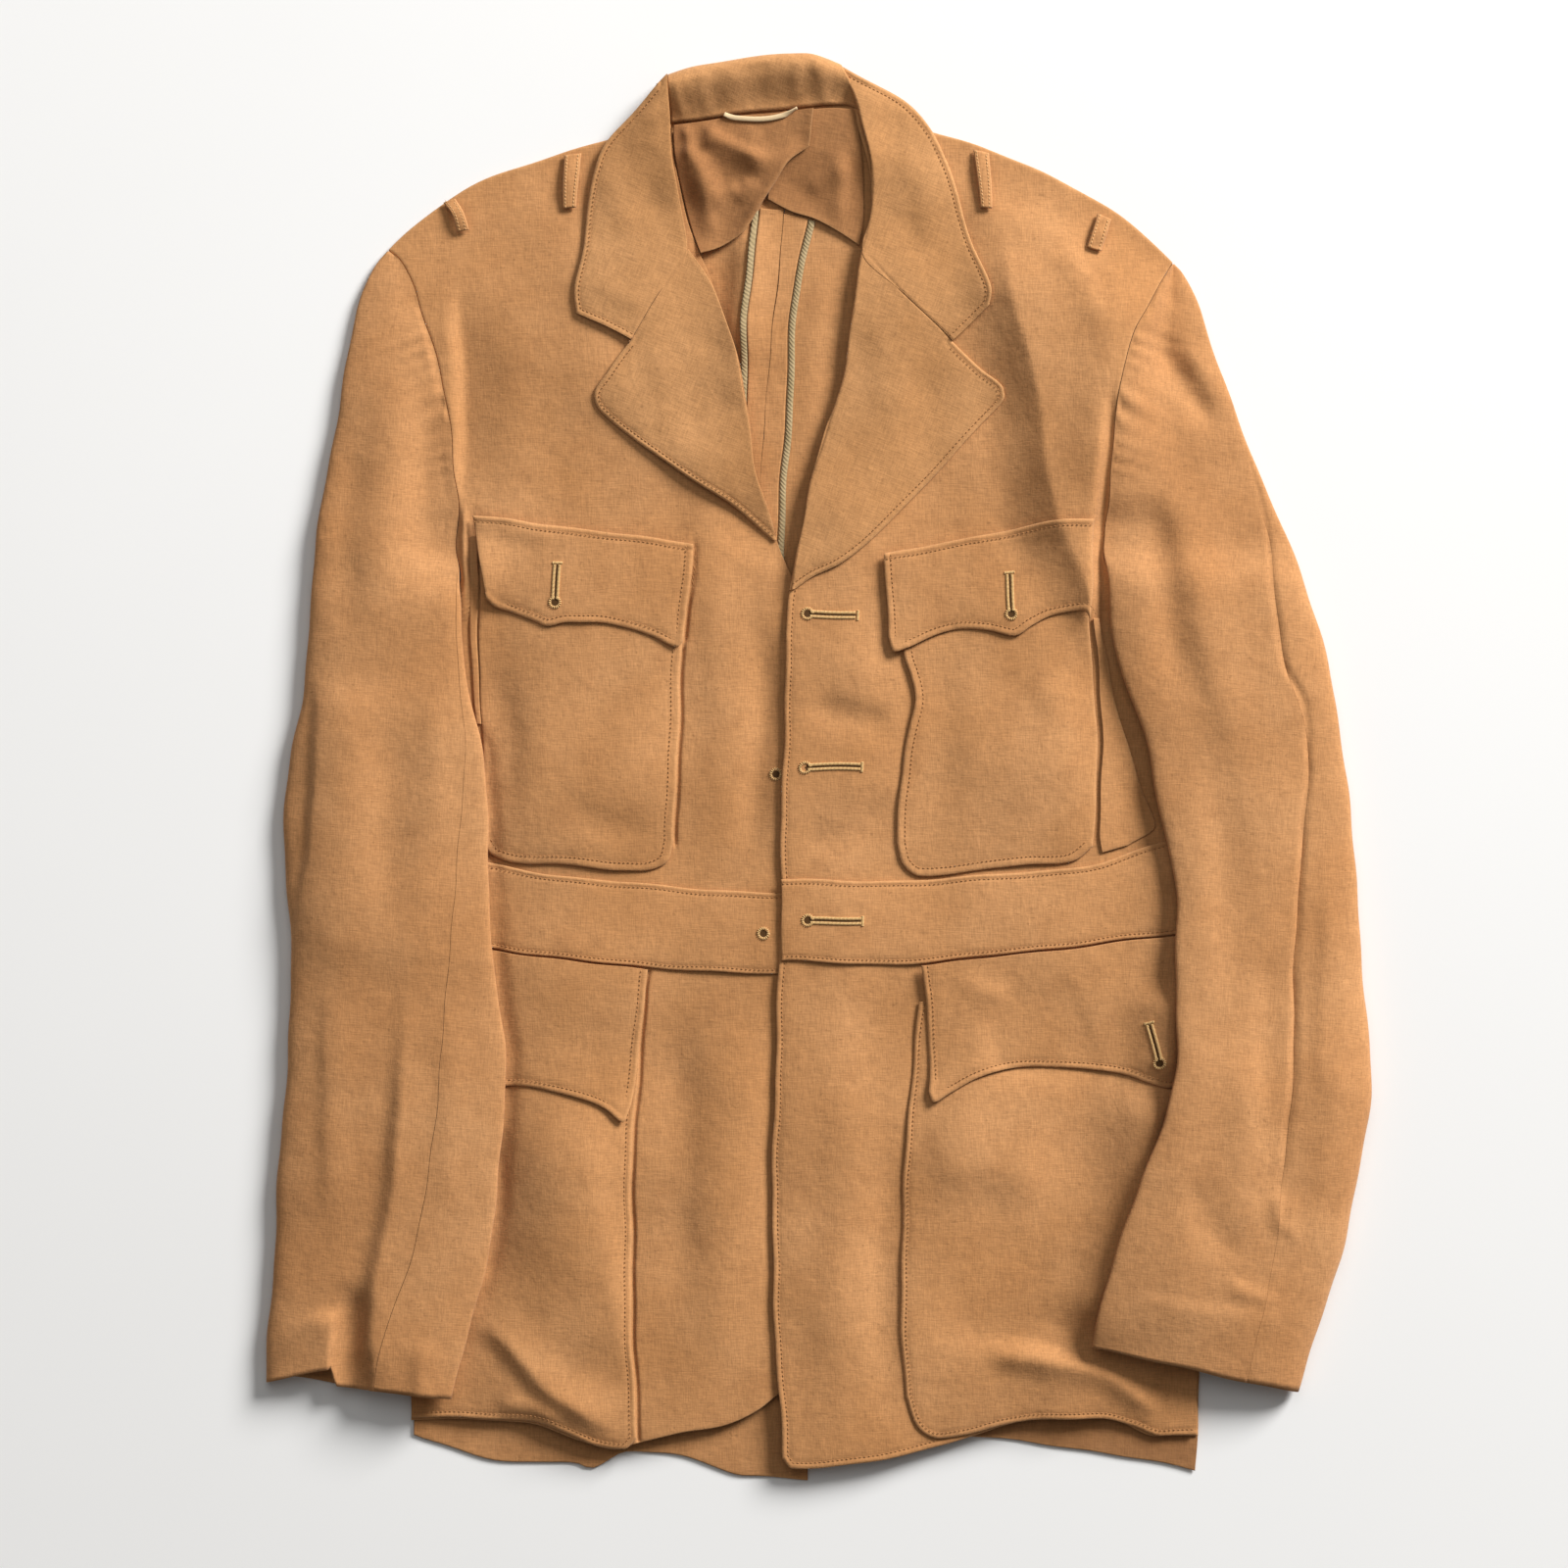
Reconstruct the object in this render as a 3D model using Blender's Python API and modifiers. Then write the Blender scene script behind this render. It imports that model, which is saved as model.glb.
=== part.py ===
"""Tropical service coat in drill, laid flat on its back with the sleeves along its sides.

X runs across the coat, positive to the wearer's left. Y runs from the hem to the collar. Z is up from the
surface that the coat lies on. The tables are in millimetres and the meshes in metres. A name that ends in
_r is on the wearer's right, one that ends in _l on the wearer's left.
"""
from collections import namedtuple
from math import acos, cos, exp, hypot, pi, sin

import bmesh
import bpy
from mathutils import Vector

MM = 0.001
CLOTH = 1.4              # wall of the outer cloth
LINING = 1.0             # wall of the yoke lining, seam turnings and their binding
COLLAR = 1.6             # wall of the collar, two cloths and a canvas
SEAM = 0.4               # gap left between two pieces where they are sewn
PLY = CLOTH + 0.8        # height from one layer of outer cloth to the next
BODY_LIE = 3.4           # underside of the fronts above the surface, clear of the back
EDGE_LIE = 1.75          # the same where the fronts come down to the back at their edges
EDGE_REACH = 45.0        # distance over which they come down
OVERLAP_LIFT = 4.4       # left front and band over the right ones
OVERLAP_END = 78.0       # X where that lift has died away
OVERLAP_RUN = 70.0       # distance over which it dies away
NECK_LIFT = 2.4          # back neck over the fall of the collar
NECK_REACH = 48.0        # how far below the neck edge that lift starts
NECK_RUN = 26.0          # distance over which it rises
NECK_RIGHT = -112.0      # X where it starts on the wearer's right
NECK_LEFT = 46.0         # X where it ends on the wearer's left
NECK_FADE = 22.0         # distance over which it comes in at either end
COLLAR_DROP = 2.3        # how far the collar leaves come down past the shoulder edge
COLLAR_DROP_RUN = 22.0   # distance over which they do
ARMPIT_LIFT = 1.4        # cloth bunched where sleeve and side meet
ARMPIT_REACH = 50.0      # distance over which it dies away
ARMPITS = ((-203.0, 125.0), (160.0, 131.0))
SLEEVE_EDGE = 4.0        # how square a sleeve's folded edge is
SLEEVE_LEAN = 80.0       # run over which a sleeve climbs from the surface on to the body
SLEEVE_TOE = 60.0        # part of that run outside the body's edge
UNDER_SLEEVE_TOP = 3     # row of the sleeve's table where the under sleeve starts
FALL_BELOW_SEAM = 8.0    # collar fall behind the neck, below the neck seam
COLLAR_FOLD = 5.2        # height of the collar's fold at the top
HANGER_RADIUS = 1.8
ON_BACK = CLOTH + 0.7    # linings and turnings above the underside of the back
ON_LINING = LINING + 0.4 # right half of the yoke lining above the left half
LOOP_ARCH = 1.6          # bow of a shoulder loop between its ends
LOOP_STEPS = 6

DRILL = "B9824C"
DRILL_SHADE = "A8733F"
BINDING = "8F8456"
CORD = "D9C49A"

# A section across a piece, from one edge to the other. Bow and sway curve it, to the left of its direction.
Cut = namedtuple("Cut", "start_x start_y end_x end_y bow sway", defaults=(0.0, 0.0))

# A flattened ring of a sleeve. Fore and hind place the two seams, as a share of the width from the inner and
# the outer edge, minus for the underside. Rest is the height of the body under the inner edge, under is how
# far the body's edge lies outside it, and shut is 0 where the ring is open at the armhole.
Ring = namedtuple("Ring", "in_x in_y out_x out_y fore hind rest under loft shut")

# A soft ridge in the cloth.
Fold = namedtuple("Fold", "from_x from_y to_x to_y width height")

# The body's side edges, and its top edge along the shoulders and neck.
Side = namedtuple("Side", "y right left")
Top = namedtuple("Top", "x y")

# A section of the collar behind the neck, from the neck seam to the fold.
Stand = namedtuple("Stand", "seam_x seam_y fold_x fold_y")

# A bump of a bellows pocket.
Crown = namedtuple("Crown", "x y reach_x reach_y height")

SIDES = [
    Side(-400, -228, 213),
    Side(-230, -230, 214),
    Side(-120, -233, 217),
    Side(-65, -236, 221),
    Side(0, -238, 222),
    Side(45, -235, 212),
    Side(90, -228, 196),
    Side(125, -230, 190),
    Side(160, -300, 260),
]

TOP_EDGE = [
    Top(-241, 290),
    Top(-205, 316),
    Top(-160, 339),
    Top(-114, 353),
    Top(-83, 362),
    Top(-17, 369),
    Top(20, 371),
    Top(62, 362),
    Top(120, 334),
    Top(165, 312),
    Top(199, 282),
]

BODY_FOLDS = [
    Fold(-176, 255, -184, 160, 20, 1.4),
    Fold(140, 300, 146, 150, 22, 2.6),
    Fold(-176, -336, -120, -366, 20, 1.8),
    Fold(112, -330, 170, -356, 22, 2.0),
    Fold(-52, -250, -44, -352, 24, 1.6),
]

SLEEVE_FOLDS = [
    Fold(-216, -108, -232, -300, 9, 1.2),
    Fold(-262, 60, -270, -90, 14, 1.0),
    Fold(190, 248, 226, 190, 12, 1.0),
    Fold(230, 120, 262, -60, 18, 1.2),
]

CROWNS = [
    Crown(-128, 25, 62, 90, 2.0),
    Crown(100, 25, 66, 90, 2.2),
    Crown(-140, -240, 52, 120, 2.2),
    Crown(122, -240, 62, 120, 2.2),
]

FRONT_R = [
    Cut(-234.5, -66.8, 1.7, -92.8, bow=-3.5),
    Cut(-237.6, -9.1, 1.7, -20),
    Cut(-236, 34.9, 1.7, 43.2),
    Cut(-225.5, 73.4, 0.6, 78.9),
    Cut(-200.6, 106.4, -10, 94.3),
    Cut(-203, 125.1, -21.4, 121.8),
    Cut(-201.3, 147.7, -27.5, 144.9),
    Cut(-204.6, 169.7, -34.7, 168),
    Cut(-206.8, 191.7, -38.5, 194.4),
    Cut(-210.7, 212.6, -42.9, 221.9),
    Cut(-215.6, 236.2, -49.5, 246.7),
    Cut(-222.2, 256.6, -59.4, 271.4, bow=1),
    Cut(-226.6, 269.8, -69.3, 294.5, bow=3),
    Cut(-233.8, 283, -76.5, 318, bow=7, sway=1),
    Cut(-240.9, 289.6, -83, 360.5, bow=13, sway=2),
]

FRONT_L = [
    Cut(-20.9, -85, 219.5, -62, bow=-11.5),
    Cut(-20.4, -9.1, 221.7, 1.9, bow=-4),
    Cut(-19.3, 40.4, 210, 45.9),
    Cut(-18.2, 78.9, 188, 84),
    Cut(-17.6, 97.6, 158, 113),
    Cut(-13.8, 114.7, 160.1, 131.2),
    Cut(-8.8, 135.6, 162.8, 150.4),
    Cut(-2.2, 165.3, 163.4, 175.2),
    Cut(5, 190.6, 164.5, 194.4),
    Cut(12.1, 212.6, 168.9, 220.8),
    Cut(17.6, 238.4, 176.6, 242.8),
    Cut(21.5, 271.4, 183.2, 254.9, bow=1),
    Cut(24.8, 293.4, 189.8, 267, bow=4),
    Cut(29.7, 322, 195.3, 275.8, bow=8, sway=-1),
    Cut(20.4, 369.3, 199.1, 281.9, bow=14.5, sway=-2.5),
]

BACK_R = [
    Cut(-226.6, -374.3, -6, -400.1, bow=-5, sway=-2.5),
    Cut(-228.3, -339.1, -5, -345),
    Cut(-228.8, -229.1, -6.6, -218.1),
    Cut(-232.1, -119.1, -18.1, -108.1),
    Cut(-235.4, -47.6, -24.2, -42.1),
    Cut(-237.6, -3.6, -28, 12.9),
    Cut(-234.9, 40.4, -30.2, 67.9),
    Cut(-222, 76.2, -31.3, 117.4),
    Cut(-200.6, 109.2, -31.3, 150.4),
    Cut(-202.4, 133.9, -31.3, 172.4),
    Cut(-204.6, 169.7, -30.2, 188.9),
    Cut(-210.7, 212.6, -27, 221.9),
    Cut(-219.5, 248.3, -23.6, 260.4, bow=2),
    Cut(-228.3, 272.5, -21, 293.4, bow=7, sway=1),
    Cut(-232, 279, -20, 312, bow=10, sway=2),
    Cut(-235, 283, -19, 331, bow=13, sway=2.5),
    Cut(-238, 286.5, -18, 350, bow=15, sway=3),
    Cut(-240.9, 289.6, -17.1, 368.2, bow=18, sway=4),
]

BACK_L = [
    Cut(-5, -376.5, 212.3, -394.1, bow=8.5),
    Cut(-5, -345, 212.9, -344.6),
    Cut(-6.6, -218.1, 214.5, -229.1),
    Cut(-18.1, -108.1, 217.8, -119.1),
    Cut(-24.2, -42.1, 221.1, -47.6),
    Cut(-28, 12.9, 221.7, 1.9),
    Cut(-30.2, 67.9, 209.5, 47),
    Cut(-31.3, 117.4, 186, 85),
    Cut(-31.3, 150.4, 158, 115.8),
    Cut(-31.3, 172.4, 160.1, 136.7),
    Cut(-30.2, 188.9, 163.4, 166.9),
    Cut(-27, 221.9, 164.5, 194.4),
    Cut(-23.6, 260.4, 173.3, 234, bow=2),
    Cut(-21, 293.4, 188.7, 265.9, bow=8),
    Cut(-20, 312, 191.5, 270.5, bow=11.5),
    Cut(-19, 331, 194, 275, bow=14.5),
    Cut(-18, 350, 196.5, 278.5, bow=17.5),
    Cut(-17.1, 368.2, 199.1, 281.9, bow=20.5, sway=-1),
]

SKIRT_R = [
    Cut(-228.3, -366, -234, -67.5),
    Cut(-195.3, -366, -190, -74.7),
    Cut(-159.5, -367.6, -150, -80.2),
    Cut(-134.8, -375.9, -120, -84),
    Cut(-113.9, -382, -98, -86.4),
    Cut(-102.3, -378.1, -85, -87.6),
    Cut(-79.8, -372.1, -62, -89.7),
    Cut(-55, -367.7, -40, -91.3),
    Cut(-34.7, -358.9, -22, -92.6),
    Cut(-22, -350.6, -10, -93.2),
    Cut(0.6, -341.9, 1.7, -93.8),
]

SKIRT_L = [
    Cut(-20.4, -386.4, -20.9, -86, bow=5),
    Cut(-14.9, -392.4, -14, -87.1, bow=4.5),
    Cut(2.8, -391.9, 8, -88.9, bow=4),
    Cut(24.8, -389.1, 30, -89.6, bow=3),
    Cut(49, -384.2, 52, -89.4, bow=2),
    Cut(71.5, -379.2, 75, -88.6),
    Cut(90.8, -373.2, 95, -87),
    Cut(118.3, -365.5, 120, -84.1),
    Cut(145.8, -363.8, 148, -79.8),
    Cut(167.2, -365.5, 170, -75.6),
    Cut(189.8, -374.8, 195, -69.8),
    Cut(212.3, -374.3, 219, -63),
]

BAND_R = [
    Cut(-233.2, -92.7, -235.4, -45.4),
    Cut(-180.4, -101.5, -182.6, -53.7),
    Cut(-146.9, -105.4, -144.7, -59.7),
    Cut(-96.3, -112, -101.8, -64.1),
    Cut(-57.8, -114.2, -62.7, -67.4),
    Cut(-20.9, -116.4, -22.6, -70.2),
    Cut(1.7, -117.5, 1.7, -71.3),
]

BAND_L = [
    Cut(-20.9, -108.7, -20.9, -62.5),
    Cut(30.3, -110.3, 27, -63.5),
    Cut(57.2, -109.2, 58.3, -62.5),
    Cut(112.2, -103.2, 112.8, -58.1),
    Cut(162.8, -97.1, 155.7, -52.6),
    Cut(195.3, -94.4, 187, -43),
    Cut(218.4, -92.2, 220.6, -34),
]

BREAST_POCKET_R = [
    Cut(-187.6, -43, -189.8, 131.2),
    Cut(-183.2, -49.3, -184.3, 129.5),
    Cut(-144.7, -53.7, -144.7, 125.1),
    Cut(-109.5, -57.5, -107.3, 120.2),
    Cut(-91.9, -56.9, -85.3, 117.4),
    Cut(-83.6, -51.4, -77.6, 116.3),
    Cut(-80.3, -41, -74.8, 115.8),
]

BREAST_POCKET_L = [
    Cut(44, -42.1, 47.3, 109.2, bow=-4.5),
    Cut(47.3, -54.2, 51.7, 110.3, bow=-4),
    Cut(57.2, -60.8, 60.5, 111.9, bow=-2.5),
    Cut(82.5, -59.2, 85.3, 114.7),
    Cut(115, -54.2, 115.5, 119.6),
    Cut(143, -51.5, 137.5, 125.1, bow=-3),
    Cut(153.5, -43.2, 145.8, 127.3, bow=-5),
]

BREAST_GUSSET_R = [
    Cut(-192, 23.9, -188.6, 23.9),
    Cut(-194.7, 78.9, -190, 78.9),
    Cut(-195.3, 129.5, -190.8, 129.5),
]

BREAST_GUSSET_L = [
    Cut(158.8, -46.5, 173.3, -43.2),
    Cut(157, -35.5, 188.7, -32.8),
    Cut(157.5, -11.9, 181.5, -12.4),
    Cut(158.5, 18.4, 171, 19.5),
    Cut(158, 40.9, 166, 40.9),
    Cut(157, 63.5, 162, 63.5),
    Cut(154.2, 83.3, 158, 83.3),
]

BREAST_FLAP_R = [
    Cut(-185.9, 93.8, -193.6, 141.1),
    Cut(-181.5, 89.9, -185.9, 140.5),
    Cut(-171.1, 86.6, -171.1, 139.4),
    Cut(-159, 81.7, -157.9, 137.2),
    Cut(-150.7, 78.4, -148, 135.6),
    Cut(-140.3, 80.6, -137.5, 133.9),
    Cut(-126.5, 80.6, -122.7, 131.7),
    Cut(-107.3, 76.7, -102.9, 129),
    Cut(-91.9, 72.3, -85.3, 126.8),
    Cut(-79.2, 67.4, -73.2, 125.7),
    Cut(-75.9, 70.7, -70.4, 125.1),
]

BREAST_FLAP_L = [
    Cut(39.1, 73.4, 36.3, 120.2),
    Cut(42.9, 65.2, 40.7, 121.3),
    Cut(50.1, 67.4, 49, 122.9),
    Cut(66.6, 74, 66.6, 125.7),
    Cut(82.5, 76.7, 82.5, 127.9),
    Cut(96.3, 75.6, 97.4, 130.6),
    Cut(109.5, 72.3, 108.4, 132.8),
    Cut(119.9, 78.4, 118.3, 135),
    Cut(130.9, 84.4, 129.3, 137.2),
    Cut(148, 87.7, 145.8, 138.9),
    Cut(152.4, 82.8, 153.5, 138.9),
]

SKIRT_POCKET_R = [
    Cut(-227.7, -364.4, -232.7, -124.6),
    Cut(-195.3, -365, -195.3, -125.7),
    Cut(-159.5, -366, -159.5, -126.8),
    Cut(-140.3, -372.1, -134.8, -127.9),
    Cut(-122.7, -379.8, -115.5, -127.9),
    Cut(-109.5, -381.5, -104.5, -127.3, bow=3.5),
    Cut(-102.3, -375.4, -97.9, -126.8, bow=4.5),
]

SKIRT_POCKET_L = [
    Cut(49, -351.2, 56.7, -130.1, bow=6),
    Cut(55.6, -369.3, 63.3, -129, bow=4.5),
    Cut(66.6, -375.9, 72.1, -127.9, bow=3),
    Cut(82.5, -373.7, 85.3, -126.8),
    Cut(104.5, -368.2, 107.3, -124.6),
    Cut(132, -363.8, 132, -121.9),
    Cut(156.8, -363.8, 156.8, -119.1),
    Cut(176, -368.2, 178.8, -116.3),
    Cut(192.5, -374.5, 198, -113.6),
    Cut(211.2, -373.7, 216.2, -110.9),
]

SKIRT_FLAP_R = [
    Cut(-231.6, -188.4, -233.2, -93.5),
    Cut(-211.8, -184, -211.8, -97.1),
    Cut(-189.8, -178.5, -189.8, -101),
    Cut(-170.5, -177.4, -170.5, -103.1),
    Cut(-146.9, -180.7, -146.9, -105.9),
    Cut(-130.4, -185.7, -126.5, -108.7),
    Cut(-118.3, -191.7, -110, -110.9),
    Cut(-108.4, -198.9, -99, -112.5),
    Cut(-104.5, -189.5, -95.2, -113),
]

SKIRT_FLAP_L = [
    Cut(60.5, -180.7, 58.3, -109.8, bow=-2),
    Cut(63.8, -186.7, 63.3, -109.5),
    Cut(72.1, -181.8, 72.1, -108.6),
    Cut(87.5, -173.5, 87.5, -107),
    Cut(107.8, -168.6, 107.8, -104.2),
    Cut(128.2, -167, 128.2, -102),
    Cut(152.9, -169.2, 152.9, -98.8),
    Cut(173.3, -172.5, 173.3, -96.6),
    Cut(186.5, -178, 186.5, -95.5),
    Cut(196.4, -180.7, 198.6, -94.6),
    Cut(210.7, -175.8, 217.3, -92.7),
]

LAPEL_R = [
    Cut(-26.4, 127.9, -23.1, 127.3),
    Cut(-36.9, 137.2, -26.4, 139.4),
    Cut(-50.6, 148.2, -30.3, 151.5),
    Cut(-83, 168.6, -35.2, 169.7),
    Cut(-104.5, 184, -39.1, 194.4),
    Cut(-123.2, 199.4, -42.4, 215.3),
    Cut(-126, 207.6, -46.8, 237.3),
    Cut(-116.1, 221.9, -57.2, 265.9),
    Cut(-104, 238.4, -73.2, 290.1),
]

LAPEL_L = [
    Cut(-17.1, 98.7, -13.8, 99.8),
    Cut(-14.9, 109.7, -2.8, 107),
    Cut(-12.7, 119.6, 11.6, 114.1),
    Cut(-8.8, 135.6, 38, 135.6),
    Cut(-3.3, 161.4, 68.2, 166.9),
    Cut(3.9, 187.8, 90.8, 192.2),
    Cut(9.4, 204.3, 102.3, 204.9),
    Cut(14.9, 225.8, 102.9, 210.9),
    Cut(18.7, 254.9, 90.2, 223.6),
    Cut(23.1, 289, 74.8, 238.4),
]

COLLAR_LEAF_R = [
    Cut(-134.8, 254.9, -104, 239.5),
    Cut(-135.9, 265.9, -89.7, 264.3),
    Cut(-132.6, 286.8, -74.3, 291.2),
    Cut(-129.8, 310.5, -78.7, 320.9),
    Cut(-126, 333.6, -81.4, 341.3),
    Cut(-119.4, 349, -83, 360.5),
    Cut(-104.5, 366, -84.2, 374.3),
    Cut(-91.3, 380.9, -84.7, 387.5),
]

COLLAR_LEAF_L = [
    Cut(74.8, 239.5, 95.7, 258.8),
    Cut(49.5, 264.7, 96.8, 265.9),
    Cut(23.7, 290.2, 85.3, 293.4),
    Cut(29.7, 318.2, 78.1, 321.5),
    Cut(29.2, 340.2, 72.6, 339.6),
    Cut(24.8, 360.5, 64.4, 357.2),
    Cut(19.3, 377, 49.5, 372.6),
    Cut(8.3, 393.5, 14.9, 391.3),
]

COLLAR_STAND = [
    Stand(-82.3, 361.8, -84.5, 388),
    Stand(-55, 365.8, -67, 394),
    Stand(-33, 368, -40, 398),
    Stand(-13, 369.3, -16.5, 400.1),
    Stand(5, 370.5, -4, 399.5),
    Stand(18, 371.6, 6.3, 395.5),
]

YOKE_LINING_R = [
    Cut(-62.5, 288.3, -80.5, 360, bow=3),
    Cut(-57, 290.6, -69, 362.2, bow=1),
    Cut(-51.2, 294, -55, 364.4),
    Cut(-42.4, 300.6, -42.9, 365.6),
    Cut(-33, 315.4, -30.3, 366.6),
    Cut(-23.1, 328.6, -19.3, 367.4),
    Cut(-16, 339.1, -10.5, 368),
    Cut(-5, 346.8, -2.2, 368.4),
]

YOKE_LINING_L = [
    Cut(-29.2, 318.7, -19.3, 364.9),
    Cut(-16, 310.5, -9.4, 367.6),
    Cut(-2.2, 306, 1.7, 368.6),
    Cut(10.5, 299.5, 11.6, 369.2),
    Cut(22, 291.8, 21, 369, bow=-4),
]

BACK_TURNING_R = [
    Cut(-42.9, 100.9, -31.9, 100.9),
    Cut(-41.3, 181.2, -31.4, 181.2),
    Cut(-39.6, 210.9, -28.6, 210.9),
    Cut(-39.1, 251.1, -24.8, 251.1),
    Cut(-34, 286, -21.6, 300),
]

BACK_TURNING_L = [
    Cut(-31.9, 100.9, -24.2, 100.9),
    Cut(-31.9, 135.6, -22.6, 135.6),
    Cut(-29.7, 198.3, -18.2, 198.3),
    Cut(-26.4, 233.5, -17, 233.5),
    Cut(-23, 268.7, -14.3, 268.7),
    Cut(-20.8, 303, -7.2, 302),
]

SEAM_BINDING_R = [
    Cut(-47.9, 100.9, -42.9, 100.9),
    Cut(-46.2, 181.2, -41.3, 181.2),
    Cut(-44.6, 210.9, -39.6, 210.9),
    Cut(-44, 251.1, -39.1, 251.1),
    Cut(-39.2, 281, -34, 286),
]

SEAM_BINDING_L = [
    Cut(-24.2, 100.9, -19.3, 100.9),
    Cut(-22.6, 135.6, -17.6, 135.6),
    Cut(-18.2, 198.3, -13.2, 198.3),
    Cut(-17, 233.5, -12.1, 233.5),
    Cut(-14.3, 268.7, -9.4, 268.7),
    Cut(-7.2, 302, -2.2, 301),
]

STRAP_LOOPS = {
    "loop_neck_r": [Cut(-143, 313, -135.4, 313.6), Cut(-142.5, 343, -132.8, 344)],
    "loop_arm_r": [Cut(-202.4, 298.9, -195.8, 300), Cut(-208.6, 311.5, -201.6, 314.5)],
    "loop_neck_l": [Cut(90.8, 312.7, 97.4, 312.7), Cut(88, 345, 96.8, 343.5)],
    "loop_arm_l": [Cut(150.2, 291.8, 158.4, 289), Cut(156, 311, 163.5, 307)],
}

HANGER_ROUTE = [(-53, 366.5), (-45, 363.8), (-28, 363.6), (-17, 366), (-11.5, 369)]

SLEEVE_R = [
    Ring(-237.3, 284.6, -247, 283.5, 0, -0.06, 0, 20, 3.0, 0),
    Ring(-227.4, 269.8, -254.1, 269.8, 0, -0.06, 0, 20, 4.2, 0),
    Ring(-220.3, 248.3, -260.2, 248.3, 0, -0.06, 0, 20, 5.2, 0),
    Ring(-212.6, 219.2, -266.8, 217.5, 0, -0.06, 0, 20, 6.0, 0),
    Ring(-207.6, 186.2, -271.7, 183.4, 0, -0.06, 0.4, 20, 6.4, 0),
    Ring(-205, 153.2, -277.2, 150.4, 0, -0.06, 1.0, 20, 6.4, 0),
    Ring(-205, 122.9, -281.6, 122.9, 0, -0.06, 1.6, 20, 6.4, 0),
    Ring(-201, 89.9, -284.4, 84.4, 0.05, -0.06, 6.8, 26, 6.4, 1),
    Ring(-196.4, 51.4, -287.7, 45.9, 0.06, -0.06, 7.0, 38, 6.4, 1),
    Ring(-187.6, 7.4, -296.5, 6.3, 0.09, -0.06, 8.0, 50, 6.4, 1),
    Ring(-184.3, -31.6, -299.2, -31.6, 0.135, -0.06, 8.0, 53, 6.4, 1),
    Ring(-184.8, -69.6, -297.6, -70.1, 0.165, -0.06, 9.6, 51, 6.4, 1),
    Ring(-181, -110.9, -294.3, -110.9, 0.22, -0.06, 10.8, 52, 6.4, 1),
    Ring(-174.4, -156.5, -296.5, -152.1, 0.288, -0.06, 10.4, 57, 6.4, 1),
    Ring(-174.9, -190.6, -299.8, -193.4, 0.3, -0.06, 10.2, 56, 6.4, 1),
    Ring(-179.3, -237.4, -303.6, -237.4, 0.32, -0.06, 9.2, 51, 6.4, 1),
    Ring(-187, -282.5, -305.3, -285.8, 0.37, -0.06, 9.0, 43, 6.4, 1),
    Ring(-195.3, -316, -307.5, -312.7, 0.41, -0.06, 9.0, 34, 6.4, 1),
    Ring(-205.2, -353.4, -309.1, -339.1, 0.415, -0.06, 9.0, 24, 6.0, 1),
]

SLEEVE_L = [
    Ring(196.1, 275.8, 204.1, 277.5, 0, 0.06, 0, 20, 3.0, 0),
    Ring(187.3, 261.5, 212.3, 262.6, 0, 0.06, 0, 20, 4.2, 0),
    Ring(178.5, 243.9, 218.9, 242.8, 0, 0.06, 0, 20, 5.2, 0),
    Ring(170.2, 220.8, 226.6, 217.5, 0, 0.06, 0, 20, 6.0, 0),
    Ring(165.3, 193.3, 236.5, 190, 0, 0.06, 0.4, 20, 6.4, 0),
    Ring(164.2, 162, 248.1, 162.5, 0, 0.07, 1.0, 20, 6.4, 0),
    Ring(161.1, 131.2, 261.3, 131.2, 0, 0.1, 1.6, 20, 6.4, 0),
    Ring(161.7, 99.8, 272.3, 100.9, -0.06, 0.165, 7.4, 22, 6.4, 1),
    Ring(167.8, 59.7, 285.5, 60.8, -0.06, 0.21, 7.6, 38, 6.4, 1),
    Ring(181, 21.2, 292, 18.4, -0.06, 0.175, 8.4, 36, 6.4, 1),
    Ring(189.8, -22.8, 298.7, -22.8, -0.06, 0.235, 8.4, 32, 6.4, 1),
    Ring(198, -61.3, 300.9, -58.6, -0.06, 0.315, 9.6, 24, 6.4, 1),
    Ring(198.6, -102, 303.1, -102, -0.06, 0.365, 10.8, 21, 6.4, 1),
    Ring(199.7, -140, 306.9, -140, -0.06, 0.39, 10.6, 18, 6.4, 1),
    Ring(198.6, -170.2, 309.1, -176.8, -0.06, 0.41, 10.6, 18, 6.4, 1),
    Ring(191.4, -200.5, 307.5, -200.5, -0.06, 0.39, 10.2, 25, 6.4, 1),
    Ring(177.7, -234.6, 302, -231.8, -0.06, 0.35, 10.0, 37, 6.4, 1),
    Ring(164.5, -268.7, 293.2, -271.4, -0.06, 0.31, 10.0, 50, 6.4, 1),
    Ring(155.1, -306.6, 281.6, -307.7, -0.06, 0.28, 10.4, 58, 6.4, 1),
    Ring(152.4, -322.6, 267.9, -349, -0.06, 0.26, 10.4, 60, 6.0, 1),
]


def smooth(value):
    """Ease from 0 to 1."""
    value = min(max(value, 0.0), 1.0)
    return value * value * (3.0 - 2.0 * value)


def along(table, key, value, wanted):
    """Read one column of a table between its rows, from the value of another column."""
    for low, high in zip(table, table[1:]):
        if value <= getattr(high, key):
            break
    share = (value - getattr(low, key)) / (getattr(high, key) - getattr(low, key))
    share = min(max(share, 0.0), 1.0)
    return getattr(low, wanted) + share * (getattr(high, wanted) - getattr(low, wanted))


def ridge(fold, x, y):
    """Height of one fold at a point: a soft bank along its line that dies away past its ends."""
    run = Vector((fold.to_x - fold.from_x, fold.to_y - fold.from_y))
    offset = Vector((x - fold.from_x, y - fold.from_y))
    share = min(max(offset.dot(run) / run.length_squared, 0.0), 1.0)
    distance = (offset - run * share).length
    return fold.height * exp(-distance ** 2 / (2.0 * fold.width ** 2))


def top_inside(x, y):
    """Distance below the shoulder and neck edge."""
    return along(TOP_EDGE, "x", x, "y") - y


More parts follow.
